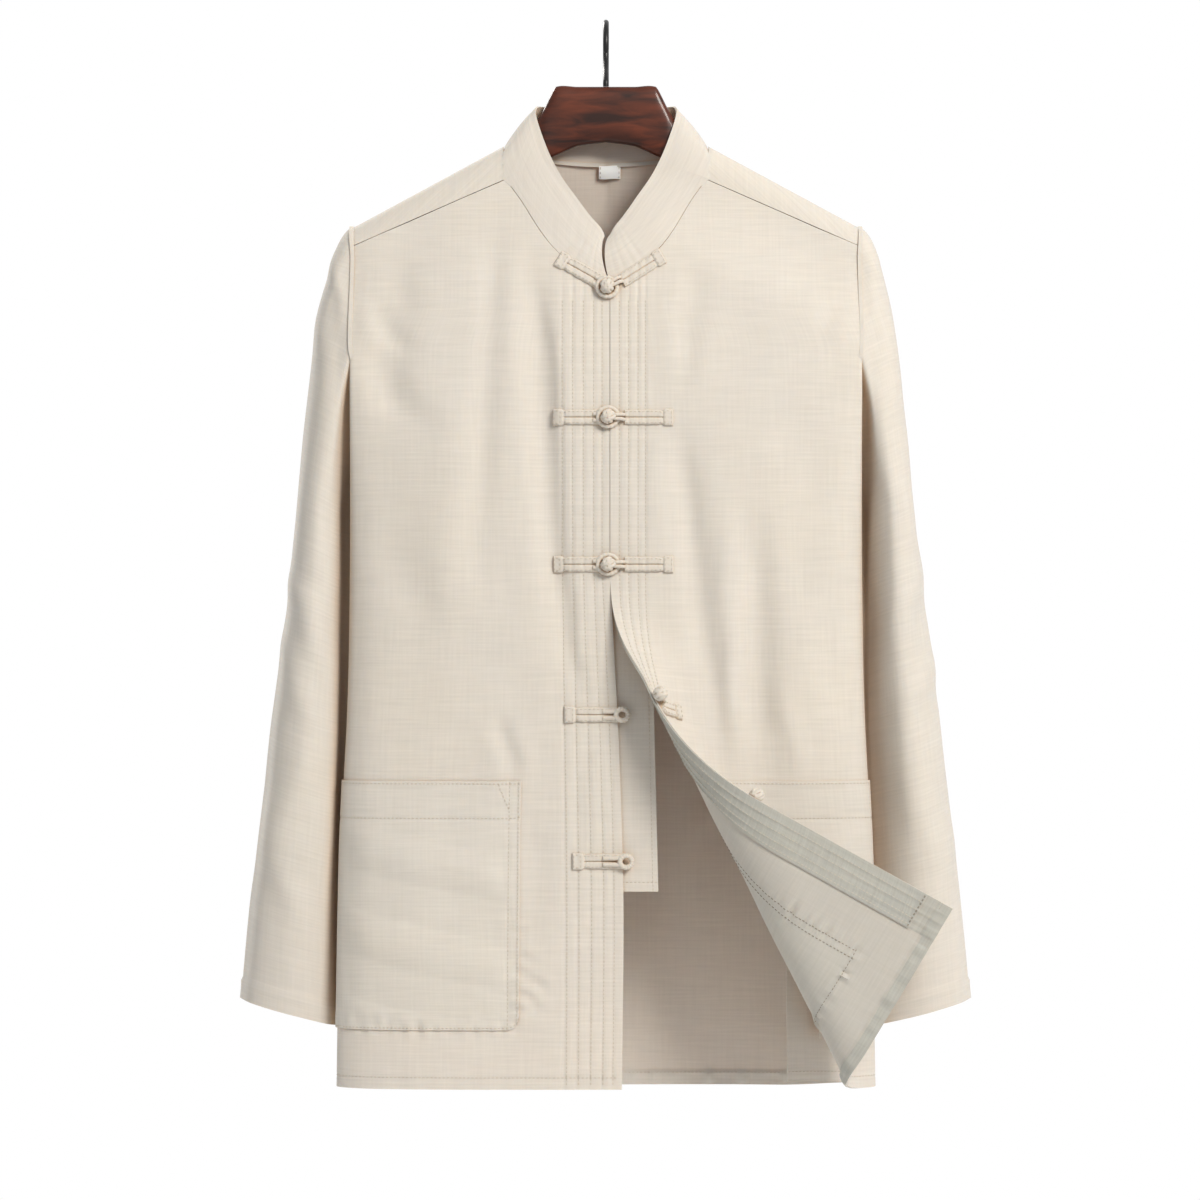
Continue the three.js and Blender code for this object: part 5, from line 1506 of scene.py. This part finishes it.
class SHIRT_OT_closures(ShirtStep, bpy.types.Operator):
    """Make the five cord closures: loops on the right front, knots on the left"""

    bl_idname = "shirt.closures"
    bl_label = "Closures"

    def make(self, sizes):
        for number, closure in enumerate(CLOSURES, start=1):
            self.closure(number, closure, sizes)

    def closure(self, number, closure, sizes):
        """One closure: a bar and loop on the right, a bar and button on the left, stitched down."""
        z, x, right_end, left_end, rise, is_open = closure
        slope = np.array((math.cos(rise * CLOSURE_STEEPER), math.sin(rise * CLOSURE_STEEPER)))
        middle, outward = front_place(-1, np.array(min(x, -0.0001)), np.array(z))
        centre = middle.copy()
        centre[0] = x
        loop_start = (x - LOOP_TO_BAR * slope[0], z + LOOP_TO_BAR * slope[1])
        run = (loop_start[0] - right_end) * slope[1] / slope[0]
        bar_start = (OPEN_BAR_START, z) if is_open else loop_start
        top, foot, normals = bar_grid(-1, bar_start, (right_end, loop_start[1] + run), sizes)
        shape = Shape()
        add_shell(shape, top, foot)
        axes = button_axes(np.array((-slope[0], 0, slope[1])), outward)
        if is_open:
            hung = centre + np.array((OPEN_LOOP["shift"], 0, 0))
            add_loop(shape, axes, hung, hung[0] - OPEN_LOOP["radius"], OPEN_LOOP["radius"], OPEN_LOOP["cord"])
        else:
            add_loop(shape, axes, centre, LOOP_TO_BAR - LOOP_RADIUS + 0.002, LOOP_RADIUS, LOOP_CORD_RADIUS)
        self.finish(shape, f"loop_{number}", bar_sewing(top, normals), sizes)

        knot_x = OPEN_KNOT_CENTRE if is_open else x
        start = (knot_x + KNOT_TO_BAR * slope[0], z + KNOT_TO_BAR * slope[1])
        climb = (left_end - start[0]) * slope[1] / slope[0]
        top, foot, normals = bar_grid(1, start, (left_end, start[1] + climb), sizes)
        axes = button_axes(np.array((slope[0], 0, slope[1])), outward)
        if is_open:
            here, outward = front_place(1, np.array(start[0]), np.array(start[1]))
            ahead, _ = front_place(1, np.array(start[0] + 0.003), np.array(start[1]))
            axes = button_axes(unit(ahead - here), outward)
            centre = here - axes[0] * KNOT_TO_BAR
        shape = Shape()
        add_shell(shape, top, foot)
        add_knot(shape, axes, centre)
        add_knot_neck(shape, axes, centre)
        self.finish(shape, f"knot_{number}", bar_sewing(top, normals), sizes)

    def finish(self, shape, node, lines, sizes):
        """Builds one half of a closure and its stitches."""
        made = shape.build(f"{node}_cord", "cord_cloth", sharp=65)
        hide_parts(node)
        sewing(f"{node}_sewing", lines, sizes)


class SHIRT_OT_label(ShirtStep, bpy.types.Operator):
    """Make the small blank label inside the back neck"""

    bl_idname = "shirt.label"
    bl_label = "Label"

    def make(self, sizes):
        s, t = np.meshgrid(np.linspace(-1, 1, 30), np.linspace(0, 1, 24))
        x = LABEL["x"] + s * LABEL["half"]
        z = mix(LABEL["top"], LABEL["foot"], t) + 0.0002 * np.sin(3 * s)
        wall = body_point(1, 1, 0.0, z)[..., 1] - fold_depth(1, x, z)
        y = wall - WALL - LABEL["gap"] - 0.0008 * np.sin(np.pi * t) - 0.0004 * np.cos(2 * s)
        grid = stacked(x, y, z)
        normals = grid_normals(grid, turn=-1)
        cloth_piece(
            "neck_label_cloth", "neck_label", grid, normals, 0.0006, finish="label_cloth"
        )
        edge = (slice(None), 2), (slice(None), -3)
        sewing("neck_label_sewing", [(grid[place], normals[place]) for place in edge], sizes)


class SHIRT_OT_hanger(ShirtStep, bpy.types.Operator):
    """Make the hanger's varnished wood and its wire hook"""

    bl_idname = "shirt.hanger"
    bl_label = "Hanger"

    def make(self, sizes):
        half = spread_lines((0, 0.06, 40), (0.06, 0.186, 40), (0.186, 0.19, 8))
        x = np.concatenate([-half[:0:-1], half])
        away = np.abs(x)
        blend = {}
        for key in ("top", "foot", "half"):
            straight = np.interp(away, HANGER_LINE["x"], HANGER_LINE[key])
            blend[key] = mix(straight, follow(HANGER_LINE, "x", key, away), 0.5)
        turn = np.arange(44) * 2 * np.pi / 44

        def soften(value):
            return np.sign(value) * np.abs(value) ** HANGER_SQUARENESS

        y = blend["half"][:, None] * soften(np.cos(turn))
        rise = 0.5 * (blend["top"] - blend["foot"])[:, None] * soften(np.sin(turn))
        z = 0.5 * (blend["top"] + blend["foot"])[:, None] + rise
        corners = stacked(x[:, None], y, z)
        shape = Shape()
        shape.add(corners, ring_solid(*corners.shape[:2]))
        made = shape.build("hanger_arms", "varnished_wood", sharp=40)
        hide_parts("hanger_wood")
        self.hook()

    def hook(self):
        """The wire: up from the wood, bent back, and round the crook's circle."""
        angles = np.radians(HOOK_ANGLES)
        centre_z = HOOK_WIRE_RADIUS - HOOK_RADIUS
        crook = stacked(0 * angles, HOOK_RADIUS * np.cos(angles), centre_z + HOOK_RADIUS * np.sin(angles))
        knots = np.concatenate([np.array(HOOK_SHANK), crook])
        length = walked(knots, 0)
        table = {"at": length, "y": knots[:, 1], "z": knots[:, 2]}
        at = np.linspace(0, length[-1], 130)
        path = stacked(0 * at, follow(table, "at", "y", at), follow(table, "at", "z", at))
        radii = np.full(len(at), HOOK_WIRE_RADIUS)
        radii[-4:] = HOOK_WIRE_RADIUS * np.array((0.97, 0.88, 0.7, 0.35))
        shape = Shape()
        add_tube(shape, path, radii, sides=24, reference=(1, 0, 0))
        made = shape.build("hook_wire", "black_wire", sharp=60)
        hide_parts("hanger_hook")


STAGE = {
    "floor_z": -1.12,
    "floor_radius": 0.95,
    "target": (-0.0046, -0.05, -0.446),
    "frame_width": 0.92,
    "lens": 150,
    "sensor": 36,
    "room": 0.53,
    "backdrop": 1.0,
}
# Lights: name, place, aim, width, power in watts, colour
LIGHTS = (
    ("key_light", (1.6, -2.6, 1.3), (0.02, 0, -0.42), 1.1, 118, (1.0, 0.955, 0.895)),
    ("back_light", (-1.6, 2.2, 1.4), (0, 0, -0.4), 1.0, 60, (1.0, 0.97, 0.92)),
)


class SHIRT_OT_stage(ShirtStep, bpy.types.Operator):
    """Make the pale floor, the studio lights and the camera of the photograph"""

    bl_idname = "shirt.stage"
    bl_label = "Stage"

    def make(self, sizes):
        scene = bpy.context.scene
        self.floor(scene)
        for name, place, aim, width, power, colour in LIGHTS:
            lamp = bpy.data.lights.new(name, "AREA")
            lamp.size = width
            lamp.energy = power
            lamp.color = colour
            made = bpy.data.objects.new(name, lamp)
            made.location = place
            made.rotation_euler = self.turned_to(place, aim)
            scene.collection.objects.link(made)
        scene.world = self.studio()
        scene.view_settings.view_transform = "Standard"
        view = bpy.data.cameras.new("photo_camera")
        view.lens = STAGE["lens"]
        view.sensor_width = STAGE["sensor"]
        view.clip_end = 50
        made = bpy.data.objects.new("photo_camera", view)
        x, y, z = STAGE["target"]
        distance = STAGE["frame_width"] * STAGE["lens"] / STAGE["sensor"]
        made.location = (x, y - distance, z)
        made.rotation_euler = (math.pi / 2, 0, 0)
        scene.collection.objects.link(made)
        scene.camera = made

    def studio(self):
        """A white backdrop behind the shirt that darkens to a dim room before it, by direction along Y."""
        world = bpy.data.worlds.new("pale_studio")
        world.use_nodes = True
        nodes = world.node_tree.nodes
        links = world.node_tree.links
        place = nodes.new("ShaderNodeTexCoord")
        parts = nodes.new("ShaderNodeSeparateXYZ")
        level = nodes.new("ShaderNodeMapRange")
        level.interpolation_type = "SMOOTHSTEP"
        level.inputs["From Min"].default_value = -0.4
        level.inputs["From Max"].default_value = 0.75
        level.inputs["To Min"].default_value = STAGE["room"]
        level.inputs["To Max"].default_value = STAGE["backdrop"]
        links.new(place.outputs["Generated"], parts.inputs["Vector"])
        links.new(parts.outputs["Y"], level.inputs["Value"])
        links.new(level.outputs["Result"], nodes["Background"].inputs["Strength"])
        nodes["Background"].inputs["Color"].default_value = (1, 1, 1, 1)
        return world

    def turned_to(self, place, aim):
        """Turn that points a light's -Z from its place to its aim: a tilt about X, then a turn about Z."""
        x, y, z = (b - a for a, b in zip(place, aim))
        return math.atan2(math.hypot(x, y), -z), 0, math.atan2(-x, y)

    def floor(self, scene):
        """A round pale floor: rings whose edge turns down."""
        radius = STAGE["floor_radius"]
        reach = np.array((0.001, 0.35, 0.7, 0.97, 0.995, 1.0, 1.0, 0.001)) * radius
        height = np.array((0, 0, 0, 0, -0.002, -0.006, -0.03, -0.03)) + STAGE["floor_z"]
        turn = np.arange(96) * 2 * np.pi / 96
        corners = stacked(reach[:, None] * np.cos(turn), reach[:, None] * np.sin(turn), height[:, None])
        quads = ring_quads(*corners.shape[:2])[:, ::-1]
        mesh = bpy.data.meshes.new("studio_floor")
        mesh.from_pydata(corners.reshape(-1, 3).tolist(), [], quads.tolist())
        mesh.update()
        finish = Finish("pale_floor", Base_Color=(*scene.shirt_colours.floor, 1), Roughness=0.9)
        mesh.materials.append(finish.material)
        made = bpy.data.objects.new("studio_floor", mesh)
        scene.collection.objects.link(made)


class SHIRT_PT_panel(bpy.types.Panel):
    """The shirt's pieces, sizes and colours"""

    bl_label = "Shirt"
    bl_idname = "SHIRT_PT_panel"
    bl_space_type = "VIEW_3D"
    bl_region_type = "UI"
    bl_category = "Shirt"

    def draw(self, context):
        for operator in OPERATORS:
            self.layout.operator(operator.bl_idname)
        for group in (context.scene.shirt_sizes, context.scene.shirt_colours):
            for name in type(group).__annotations__:
                self.layout.prop(group, name)


OPERATORS = (
    SHIRT_OT_stage,
    SHIRT_OT_hanger,
    SHIRT_OT_back,
    SHIRT_OT_fronts,
    SHIRT_OT_sleeves,
    SHIRT_OT_collar,
    SHIRT_OT_pockets,
    SHIRT_OT_inner_strips,
    SHIRT_OT_closures,
    SHIRT_OT_label,
)
CLASSES = (ShirtSizes, ShirtColours, *OPERATORS, SHIRT_PT_panel)


def register():
    """Registers the classes and hangs the settings on the scene."""
    for item in CLASSES:
        bpy.utils.register_class(item)
    bpy.types.Scene.shirt_sizes = bpy.props.PointerProperty(type=ShirtSizes)
    bpy.types.Scene.shirt_colours = bpy.props.PointerProperty(type=ShirtColours)


def unregister():
    """Takes the settings and the classes away again."""
    del bpy.types.Scene.shirt_colours
    del bpy.types.Scene.shirt_sizes
    for item in reversed(CLASSES):
        bpy.utils.unregister_class(item)


def main():
    """Makes every piece in order."""
    register()
    for operator in OPERATORS:
        group, name = operator.bl_idname.split(".")
        getattr(getattr(bpy.ops, group), name)()


if __name__ == "__main__":
    main()
